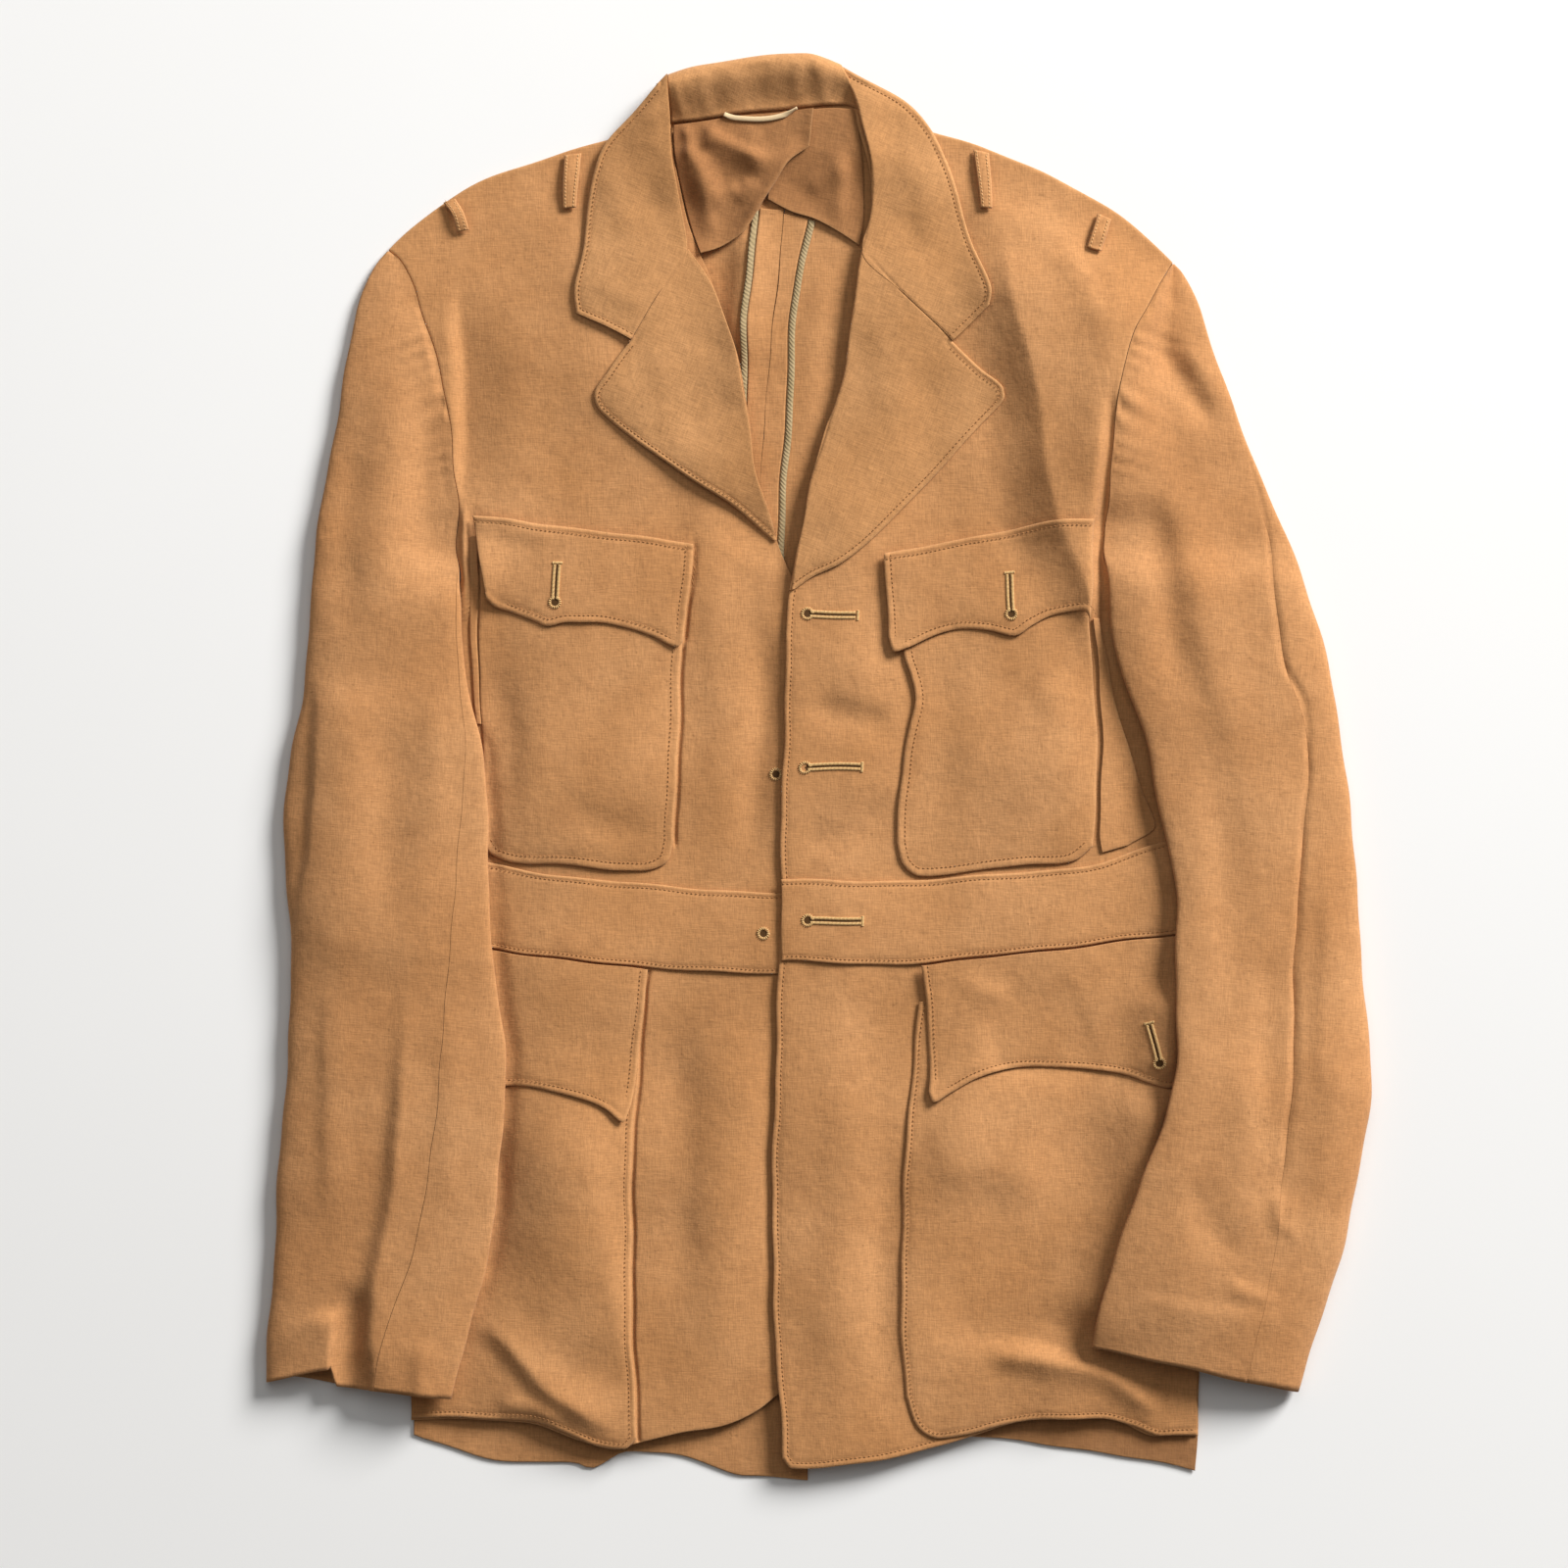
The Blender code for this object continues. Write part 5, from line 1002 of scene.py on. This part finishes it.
# sleeves, flattened rings split at their two seams: a ring is its inner and outer end, the places of its
# seams, its rest on the body and how wide that is, its loft, and nought while still open to the armhole;
# hem trims the cuff by its share across, with a step at the vent on the right
sleeveRight = {
    "front": frontLie, "around": 80, "long": 236, "puff": 1.35, "slant": -0.42,
    "hem": {"share": [0.0, 0.622, 0.636, 1.0], "trim": [0.0, 0.0, 9.5, -4.5]},
    "rings": [(-240.4, 289.0, -241.8, 288.8, 0, -0.06, 0, 20, 2.6, 0),
        (-237.3, 284.6, -247, 283.5, 0, -0.06, 0, 20, 3.0, 0),
        (-227.4, 269.8, -254.1, 269.8, 0, -0.06, 0, 20, 4.2, 0),
        (-220.3, 248.3, -260.2, 248.3, 0, -0.06, 0, 20, 5.2, 0),
        (-212.6, 219.2, -266.8, 217.5, 0, -0.06, 0, 20, 6.4, 0),
        (-207.6, 186.2, -271.7, 183.4, 0, -0.06, 0.6, 20, 7.4, 0),
        (-205, 153.2, -277.2, 150.4, 0, -0.06, 1.2, 20, 8.3, 0),
        (-205, 122.9, -281.6, 122.9, 0, -0.06, 2.0, 20, 9.0, 0),
        (-199.4, 89.9, -284.4, 84.4, 0.03, -0.06, 6.4, 26, 7.0, 1),
        (-196.4, 51.4, -287.7, 45.9, 0.04, -0.06, 7.0, 38, 6.4, 1),
        (-187.6, 7.4, -296.5, 6.3, 0.09, -0.06, 8.0, 50, 6.4, 1),
        (-184.3, -31.6, -299.2, -31.6, 0.135, -0.06, 8.0, 53, 6.4, 1),
        (-184.8, -69.6, -297.6, -70.1, 0.165, -0.06, 9.6, 51, 6.4, 1),
        (-181, -110.9, -294.3, -110.9, 0.22, -0.06, 10.8, 52, 6.4, 1),
        (-174.4, -156.5, -296.5, -152.1, 0.288, -0.06, 10.4, 57, 6.4, 1),
        (-174.9, -190.6, -299.8, -193.4, 0.3, -0.06, 10.2, 56, 6.4, 1),
        (-179.3, -237.4, -303.6, -237.4, 0.32, -0.06, 9.2, 51, 6.4, 1),
        (-187, -282.5, -305.3, -285.8, 0.37, -0.06, 9.0, 43, 6.4, 1),
        (-195.3, -316, -307.5, -312.7, 0.41, -0.06, 9.0, 34, 6.4, 1),
        (-205.2, -353.4, -309.1, -339.1, 0.415, -0.06, 9.0, 24, 6.0, 1)],
    "folds": [
        crease([(-249, -322), (-248, -300), (-245, -272), (-237, -240), (-233, -200), (-229.5, -150),
            (-226, -100)], 4.0, 6, 26, kind="under", fade=0.5, runsOut="start"),
        crease([(-295, -118), (-292, -90), (-287, -62), (-283, -40), (-281, 15), (-280, 56)], 6.0, 3.0, 34,
            kind="under", fade=0.16),
        crease([(-270, -302), (-271, -316), (-272.5, -342)], 3.4, 1.2, 16, kind="under", runsOut="end"),
        crease([(-262, 60), (-268, 0), (-270, -90)], 1.8, 18, 20),
        crease([(-273, -110), (-274, -180), (-273, -262)], 1.8, 12, 5),
        crease([(-221, -318), (-221, -336), (-222, -352)], 2.6, 10, 5, runsOut="end"),
        crease([(-238, 40), (-240, -40), (-236, -100)], -2.4, 14, 13),
        crease([(-214, 60), (-212, 0), (-214, -60)], 1.4, 10, 9),
        crease([(-232, 236), (-240, 180), (-246, 120), (-244, 70)], 2.2, 13, 16),
        crease([(-222, 216), (-221, 160), (-219, 108)], -1.8, 8, 9),
        crease([(-259, -284), (-260, -316), (-261, -352)], -4.6, 9, 9, runsOut="end"),
        crease([(-270, -306), (-290, -316), (-304, -328)], 1.4, 8, 7),
        crease([(-258, 200), (-264, 120), (-264, 60)], -1.4, 10, 9),
        crease([(-206, -120), (-204, -190), (-210, -260)], 1.6, 10, 9),
    ],
}
sleeveLeft = {
    "front": leftFrontLie, "around": 80, "long": 236, "puff": 1.35, "slant": 0.42,
    "hem": {"share": [0.0, 1.0], "trim": [0.0, 0.0]},
    "rings": [(198.8, 281.4, 200.2, 281.6, 0, -0.05, 0, 20, 2.6, 0),
        (196.1, 275.8, 204.1, 277.5, 0, -0.05, 0, 20, 3.0, 0),
        (187.3, 261.5, 212.3, 262.6, 0, -0.05, 0, 20, 4.2, 0),
        (178.5, 243.9, 218.9, 242.8, 0, -0.04, 0, 20, 5.2, 0),
        (170.2, 220.8, 226.6, 217.5, 0, -0.01, 1.0, 20, 6.0, 0),
        (165.3, 193.3, 236.5, 190, 0, 0.04, 2.8, 20, 6.4, 0),
        (164.2, 162, 248.1, 162.5, 0, 0.07, 4.6, 20, 6.4, 0),
        (161.1, 131.2, 261.3, 131.2, 0, 0.1, 6.2, 20, 6.4, 0),
        (161.7, 99.8, 272.3, 100.9, -0.06, 0.165, 9.4, 22, 6.4, 1),
        (167.8, 59.7, 285.5, 60.8, -0.06, 0.21, 8.2, 38, 6.4, 1),
        (181, 21.2, 292, 18.4, -0.06, 0.175, 8.4, 36, 6.4, 1),
        (189.8, -22.8, 298.7, -22.8, -0.06, 0.235, 8.4, 32, 6.4, 1),
        (198, -61.3, 300.9, -58.6, -0.06, 0.315, 9.6, 24, 6.4, 1),
        (198.6, -102, 303.1, -102, -0.06, 0.365, 13.0, 21, 6.4, 1),
        (199.7, -140, 306.9, -140, -0.06, 0.39, 15.0, 18, 6.4, 1),
        (198.6, -170.2, 309.1, -176.8, -0.06, 0.41, 17.6, 18, 6.4, 1),
        (191.4, -200.5, 307.5, -200.5, -0.06, 0.39, 18.4, 25, 6.4, 1),
        (177.7, -234.6, 302, -231.8, -0.06, 0.35, 18.8, 37, 6.4, 1),
        (164.5, -268.7, 293.2, -271.4, -0.06, 0.31, 18.2, 50, 6.4, 1),
        (155.1, -306.6, 281.6, -307.7, -0.06, 0.28, 15.6, 58, 6.4, 1),
        (152.4, -322.6, 267.9, -349, -0.06, 0.26, 12.4, 60, 6.0, 1)],
    "folds": [
        crease([(184, 246), (200, 220), (216, 198), (226, 184)], -3.4, 9, 8),
        crease([(234, 193), (247, 154), (251, 134), (253, 104), (260, 62), (271, 38), (274, 8), (272, -25),
            (269, -58), (266, -97), (265, -140), (263, -178), (260, -215), (257, -240)], -2.0, 1.3, 1.6,
            fade=0.08),
        crease([(258, -232), (256, -248), (259, -262)], 2.2, 2.4, 5),
        crease([(266, -238), (262, -254), (268, -268)], 1.6, 3, 3),
        crease([(206, 240), (218, 216), (230, 202)], 1.8, 9, 8),
        crease([(194, 184), (203, 130), (222, 60), (238, -10)], 3.0, 20, 12),
        crease([(188, 156), (194, 90), (206, 30)], -2.6, 10, 11),
        crease([(222, 20), (226, -60), (230, -140)], -2.4, 14, 11),
        crease([(236, -150), (238, -220), (232, -270)], 2.4, 12, 12),
        crease([(223, -283), (240, -291), (257, -297)], 1.5, 3, 7),
        crease([(297, -224), (289, -243), (284, -257)], -1.8, 5, 5),
        crease([(252, -100), (250, -150), (244, -196)], -1.4, 9, 7),
        crease([(282, -150), (288, -200), (280, -246)], 1.6, 9, 10),
        crease([(285, -40), (284, -100), (281, -150), (279, -190)], 2.0, 10, 6),
        crease([(294, -96), (293, -150), (291, -196)], 1.4, 6, 6),
        crease([(170, -292), (205, -300), (262, -306)], 1.0, 3, 14, fade=0.15),
        crease([(206, -226), (216, -256), (238, -272)], -1.6, 10, 9),
    ],
}
sleeveShape = {"round": 3.0, "lean": 60.0, "leanRun": 80.0, "level": 0.6, "calm": 0.1, "ripple": 0.8,
               "grow": 1.03, "wall": 1.0, "seamGap": 0.0012, "underTop": 21}
puckers = {"high": 1.25, "pitch": 10.5, "reach": 15.0, "top": (272.0, 20.0), "foot": (150.0, 30.0)}
# pit is the armhole's lowest point
armholes = {"r": {"edge": "start", "pit": 108.0, "gap": -0.25, "bulge": 2.0},
            "l": {"edge": "end", "pit": 113.0, "gap": 0.25, "bulge": -2.0}}


def ringPoints(spec, rings, angles):
    inX, inY, outX, outY = [rings[:, i][:, None] for i in range(4)]
    rest, under, loft, shut = [rings[:, i][:, None] for i in range(6, 10)]
    share = (1.0 - np.cos(angles)) / 2.0
    upper = np.sin(angles) >= 0.0
    x, y = inX + (outX - inX) * share, inY + (outY - inY) * share
    distance = share * np.hypot(outX - inX, outY - inY)
    loft = loft * spec["puff"]
    openLoft = spec["front"](inX, inY) + coat["cloth"] - rest
    innerLoft = openLoft + (loft - openLoft) * shut
    full = innerLoft + (loft - innerLoft) * ease(share / 0.5)
    power = sleeveShape["round"]
    fullness = np.maximum(0.0, 1.0 - np.abs(2.0 * share - 1.0) ** power) ** (1.0 / power)
    fullness = np.where(share < 0.5, 1.0 - shut * (1.0 - fullness), fullness)
    base = rest * ease((under + sleeveShape["lean"] - distance) / sleeveShape["leanRun"])
    z = base + full / 2.0 * (1.0 + np.where(upper, fullness, -fullness))
    level = sleeveShape["level"] * (rest - base) * fullness * shut  # air keeps the top nearly level
    z = z + np.where(upper, level, 0.0)
    calm = fullness ** 4 * ease(share / sleeveShape["calm"])
    extra = foldsHeight(spec["folds"], x, y) + sleeveShape["ripple"] * ripple(y * 0.9 + 400.0, x + 90.0)
    slant = y + spec["slant"] * x
    (top, topRun), (foot, footRun) = puckers["top"], puckers["foot"]
    pucker = (np.sin(slant * 6.283 / puckers["pitch"] + 2.2 * np.sin(y * 0.11))
              * (0.7 + 0.5 * np.sin(y * 0.19 + 1.0)))
    pucker = (puckers["high"] * pucker * np.exp(-distance / puckers["reach"]) * (1.0 - shut)
              * ease((top - y) / topRun) * ease((y - foot) / footRun))
    z = z + np.where(upper, extra * calm + pucker * ease(distance / 3.0), 0.0)
    return x, y, z


def seamAngle(share):
    angle = np.arccos(1.0 - 2.0 * np.abs(share))
    return np.where(share >= 0.0, angle, -angle)


def laySleeve(side, spec):
    v = np.linspace(0.0, 1.0, spec["long"])
    rings, reach = readTable(spec["rings"], v)
    hole = armholes[side]
    armhole = edges["front_" + side][hole["edge"]]
    armhole = armhole[np.argsort(armhole[:, 1])]
    sewn = np.interp(np.maximum(rings[:, 1], hole["pit"]), armhole[:, 1], armhole[:, 0]) + hole["gap"]
    shut = ease(rings[:, 9])
    rings[:, 0] = sewn + (rings[:, 0] - sewn) * shut + hole["bulge"] * shut * (1.0 - shut)
    fore, hind = seamAngle(rings[:, 4]), seamAngle(rings[:, 5])
    gap = (0.0025 + 0.02 * np.exp(-(fore / 0.3) ** 2)) * rings[:, 9]
    upperEnd, underStart = np.pi - hind - sleeveShape["seamGap"], np.pi - hind + sleeveShape["seamGap"]
    even = np.linspace(0.0, 1.0, spec["around"])
    halves = [("upper", fore + gap, upperEnd, 0, (0, 0, 1)),
              ("under", underStart, fullTurn + fore - gap, sleeveShape["underTop"], (0, 0, -1))]
    for part, start, end, first, facing in halves:
        angles = start[first:, None] + (end - start)[first:, None] * even[None, :]
        x, y, z = ringPoints(spec, rings[first:], angles)
        trim = np.interp((1.0 - np.cos(angles)) / 2.0, spec["hem"]["share"], spec["hem"]["trim"])
        y = y + trim * ease((v[first:, None] - 0.9) / 0.1) * (np.sin(angles) > 0.0)
        piece = gridObject(part + "Sleeve" + side.upper() + "Cloth", x, y, z, sleeveShape["wall"], "sleeve",
                           None, facing, ("start", "end"))
        declare(piece, part + "_sleeve_" + side)


laySleeve("r", sleeveRight)
laySleeve("l", sleeveLeft)
print("sleeves laid")

# shoulder loops, cord and sewing
loopCuts = {
    "loop_neck_r": [(-143, 313, -135.4, 313.6), (-143, 328, -134.2, 329), (-142.5, 343, -132.8, 344)],
    "loop_arm_r": [(-202.2, 298.8, -195.6, 300.2), (-205.4, 309.2, -199, 310.8), (-210, 315.8, -203.2, 318)],
    "loop_neck_l": [(90.8, 312.7, 97.4, 312.7), (89.2, 329, 97.2, 328), (88, 345, 96.8, 343.5)],
    "loop_arm_l": [(150.2, 291.8, 158.4, 289), (153.2, 301.4, 161, 298), (156, 311, 163.5, 307)],
}
loopShape = {"arch": 2.0, "above": 2.6, "inset": 1.7, "pitch": 2.0, "wide": 8.0, "thick": 1.4, "wall": 1.2,
             "sewn": 1.35, "bevel": 0.8, "bevelReach": 1.2, "furrow": 0.25, "furrowReach": 0.6, "worn": 0.8,
             "least": 0.0102, "grow": 1.05}


def layLoop(node, cuts):
    low, high = np.array(cuts[0], float), np.array(cuts[-1], float)
    v, u = np.linspace(0.0, 1.0, 26), np.linspace(0.0, 1.0, 13)
    rows, reach = readTable(cuts, v)
    x = rows[:, 0:1] + (rows[:, 2:3] - rows[:, 0:1]) * u
    y = rows[:, 1:2] + (rows[:, 3:4] - rows[:, 1:2]) * u

    def lie(a, b):
        share = np.clip((b - low[1]) / (high[1] - low[1]), 0.0, 1.0)
        return frontLie(a, b) + loopShape["above"] + loopShape["arch"] * np.sin(np.pi * share)

    edge = np.minimum(u, 1.0 - u)[None, :] * loopShape["wide"]
    z = (lie(x, y) + loopShape["thick"]
         - loopShape["bevel"] * np.clip(1.0 - edge / loopShape["bevelReach"], 0, 1) ** 2
         - loopShape["furrow"] * bell(edge - loopShape["inset"], loopShape["furrowReach"]))
    # the loop's edges get the same rubbed wear and painted highlight
    marks = bell(edge, loopShape["worn"]) + np.zeros(x.shape)
    piece = gridObject(node.replace("_", "") + "Tape", x, y, z, loopShape["wall"], "body", marks)
    for column, toLeft in ((0, False), (-1, True)):
        line = np.stack([x[:, column], y[:, column]], 1)
        sewAlong(line, loopShape["inset"], lambda a, b: lie(a, b) + loopShape["sewn"], toLeft,
                 loopShape["pitch"], loopMarks)
    declare(piece, node)


for node, cuts in loopCuts.items():
    layLoop(node, cuts)

hanger = {"route": [(-53, 366.5), (-49, 364.6), (-45, 363.8), (-36, 363.2), (-28, 363.6), (-21, 364.8),
                    (-17, 366), (-11.5, 369)],
          "wide": 1.5, "thick": 0.7, "lift": 7.9, "wall": 0.3,
          "firstTurn": (-0.5, 0.18), "lastTurn": (1.4, 0.28)}  # twist at each end, and the share it takes


def layHanger(spec):
    line = bent(spec["route"], 6)
    around = np.linspace(0.0, fullTurn, 13)
    tangent = np.gradient(line, axis=0)
    tangent /= np.hypot(tangent[:, 0], tangent[:, 1])[:, None]
    (first, firstRun), (last, lastRun) = spec["firstTurn"], spec["lastTurn"]
    x, y, z = [], [], []
    for share, (px, py), (tx, ty) in zip(np.linspace(0.0, 1.0, len(line)), line, tangent):
        turn = last * ease(1.0 - (1.0 - share) / lastRun) + first * ease(1.0 - share / firstRun)
        wide, thick = spec["wide"] * np.cos(around), spec["thick"] * np.sin(around)
        across = wide * math.cos(turn) - thick * math.sin(turn)
        x.append(px - ty * across)
        y.append(py + tx * across)
        z.append(spec["lift"] + wide * math.sin(turn) + thick * math.cos(turn))
    piece = gridObject("hangerLoopCord", np.array(x), np.array(y), np.array(z), spec["wall"], "cord")
    declare(piece, "hanger_loop")


layHanger(hanger)

thread = {"long": 1.75, "wide": 0.34, "high": 0.22}


def sewStitches(name, marks, cloth, size):
    form = bmesh.new()
    scale = Matrix.Diagonal((size["long"] / 2 * mm, size["wide"] * mm, size["high"] * mm, 1.0))
    for x, y, z, dx, dy, dz in marks:
        turn = Vector((dx, dy, dz)).normalized().to_track_quat("X", "Z").to_matrix().to_4x4()
        place = Matrix.Translation(Vector((*waver(x, y), z)) * mm)
        bmesh.ops.create_icosphere(form, subdivisions=1, radius=1.0, matrix=place @ turn @ scale)
    declare(meshObject(name, form, cloths[cloth]))


sewStitches("topstitching", stitchMarks, "thread", thread)
sewStitches("loopStitching", loopMarks, "paleThread", thread)
print("topstitches:", len(stitchMarks))

buttonholes = [  # eye and far end of each slit, and the piece that it is worked in
    {"eye": (-6.6, 86.0), "end": (20.4, 85.6), "node": "front_l"},
    {"eye": (-7.6, 0.0), "end": (22.6, 0.4), "node": "front_l"},
    {"eye": (-6.0, -86.4), "end": (23.4, -85.8), "node": "waistband_l"},
    {"eye": (-147.6, 92.0), "end": (-146.4, 113.0), "node": "breast_flap_r"},
    {"eye": (108.2, 85.0), "end": (106.4, 107.4), "node": "breast_flap_l"},
    {"eye": (190.2, -166.0), "end": (185.6, -144.2), "node": "skirt_flap_l"},
]
eyelets = [{"eye": (-23.4, -3.6), "node": "front_r"}, {"eye": (-30.8, -92.7), "node": "waistband_r"}]
twist = {"long": 2.2, "wide": 0.42, "high": 0.5, "pitch": 0.72, "slit": 0.45, "eye": 2.0, "bar": 2.6,
         "barGap": 0.2, "out": 0.42, "above": 0.3, "slitAbove": 0.1}


def heightOn(node, spot):
    return float(tops[node](np.array([spot[0]]), np.array([spot[1]]))[0])


def workedEdge(line, outward, node, marks):
    steps, run = runOf(line)
    for at in np.arange(0.0, run[-1], twist["pitch"]):
        i = min(int(np.searchsorted(run, at, "right")) - 1, len(line) - 2)
        way = outward[i]
        spot = line[i] + (line[i + 1] - line[i]) * (at - run[i]) / max(steps[i], 1e-9)
        spot = spot + way * twist["long"] * twist["out"]
        marks.append((spot[0], spot[1], heightOn(node, spot) + twist["above"], way[0], way[1], 0.0))


def workButtonholes():
    marks = []
    form = bmesh.new()
    for hole in buttonholes:
        eye, end = np.array(hole["eye"]), np.array(hole["end"])
        length = np.hypot(*(end - eye))
        run = (end - eye) / length
        side = np.array([-run[1], run[0]])
        opening = math.asin(twist["slit"] / twist["eye"])
        turns = np.linspace(opening, fullTurn - opening, 30)
        rays = np.array([math.cos(a) * run + math.sin(a) * side for a in turns])
        workedEdge(eye + twist["eye"] * rays, rays, hole["node"], marks)
        for out in (side, -side):
            ends = [eye + run * along + out * twist["slit"]
                    for along in (twist["eye"] * math.cos(opening), length)]
            workedEdge(np.array(ends), [out], hole["node"], marks)
        bar = [end + way * twist["bar"] + run * twist["barGap"] for way in (-side, side)]
        workedEdge(np.array(bar), [run], hole["node"], marks)
        turn = Matrix.Rotation(math.atan2(run[1], run[0]), 4, "Z")
        middle = eye + run * length / 2.0
        scale = Matrix.Diagonal((length / 2.0, twist["slit"], 1.0, 1.0))
        # dark disk and strip: painted shade in the eye and in the slit
        bmesh.ops.create_circle(form, cap_ends=True, segments=20, radius=twist["eye"] * mm,
                                matrix=Matrix.Translation(Vector((*eye, 0.0)) * mm) @ turn)
        bmesh.ops.create_grid(form, x_segments=14, y_segments=1, size=mm,
                              matrix=Matrix.Translation(Vector((*middle, 0.0)) * mm) @ turn @ scale)
    for hole in eyelets:
        eye = np.array(hole["eye"])
        rays = np.array([(math.cos(a), math.sin(a)) for a in np.linspace(0.0, fullTurn, 37)])
        workedEdge(eye + rays * twist["eye"], rays, hole["node"], marks)
        bmesh.ops.create_circle(form, cap_ends=True, segments=24, radius=twist["eye"] * mm,
                                matrix=Matrix.Translation(Vector((*eye, 0.0)) * mm))
    for vert in form.verts:  # the sheets of painted shade in each slit and eye follow the cloth that they are cut in
        x, y = vert.co.x / mm, vert.co.y / mm
        nearest = min(buttonholes + eyelets, key=lambda hole: math.hypot(
            *(np.array([x, y]) - np.mean([hole["eye"], hole.get("end", hole["eye"])], axis=0))))
        vert.co = Vector((*waver(x, y), heightOn(nearest["node"], (x, y)) + twist["slitAbove"])) * mm
    declare(meshObject("buttonholeSlitShade", form, cloths["slit"], smooth=False))
    sewStitches("buttonholeStitching", marks, "goldThread", twist)


workButtonholes()
print("buttonholes worked:", len(buttonholes), "eyelets:", len(eyelets))

# floor, light and camera
studio = {"camera": (-0.01925, -0.0091), "height": 2.444, "lens": 100.0, "sensor": 36.0, "floorSize": 6.0,
          "floorDrop": -0.0004, "sky": (1.0, 0.99, 0.97, 1.0), "skyStrength": 0.12}

# matt background paper, near white with the faintest cloud in it
paper, paperTree, paperShader = startMaterial("palePaper", 0.9)
speck = addNode(paperTree, "ShaderNodeTexNoise", {"Scale": 30.0, "Detail": 3.0})
paperMix = addNode(paperTree, "ShaderNodeMix", {"data_type": "RGBA", 6: linear("EFEEEC"), 7: linear("F4F3F1")},
                   {0: speck.outputs["Fac"]})
paperTree.links.new(paperMix.outputs[2], paperShader.inputs["Base Color"])
floorForm = bmesh.new()
bmesh.ops.create_grid(floorForm, x_segments=8, y_segments=8, size=studio["floorSize"])
floor = meshObject("paleFloor", floorForm, paper, smooth=False)
floor.location.z = studio["floorDrop"]

lamps = [
    {"name": "windowKey", "at": (4.8, 4.9, 3.4), "aim": (0.0, 0.0, 0.0), "size": 3.2, "watts": 1040.0},
    {"name": "ceilingFill", "at": (-0.2, 0.9, 1.9), "aim": (0.0, 0.1, 0.0), "size": 1.8, "watts": 9.0},
]
for lamp in lamps:
    light = bpy.data.lights.new(lamp["name"], "AREA")
    light.shape = "DISK"
    light.size = lamp["size"]
    light.energy = lamp["watts"]
    holder = addObject(lamp["name"], light)
    holder.location = lamp["at"]
    holder.rotation_euler = (Vector(lamp["aim"]) - Vector(lamp["at"])).to_track_quat("-Z", "Y").to_euler()

world = bpy.data.worlds.new("softRoom")
world.use_nodes = True
background = world.node_tree.nodes["Background"]
background.inputs["Color"].default_value = studio["sky"]
background.inputs["Strength"].default_value = studio["skyStrength"]
bpy.context.scene.world = world
bpy.context.scene.view_settings.view_transform = "Standard"

eyeLens = bpy.data.cameras.new("overheadCamera")
eyeLens.lens = studio["lens"]
eyeLens.sensor_width = studio["sensor"]
overhead = addObject("overheadCamera", eyeLens)
overhead.location = (*studio["camera"], studio["height"])
bpy.context.scene.camera = overhead
print("studio set")
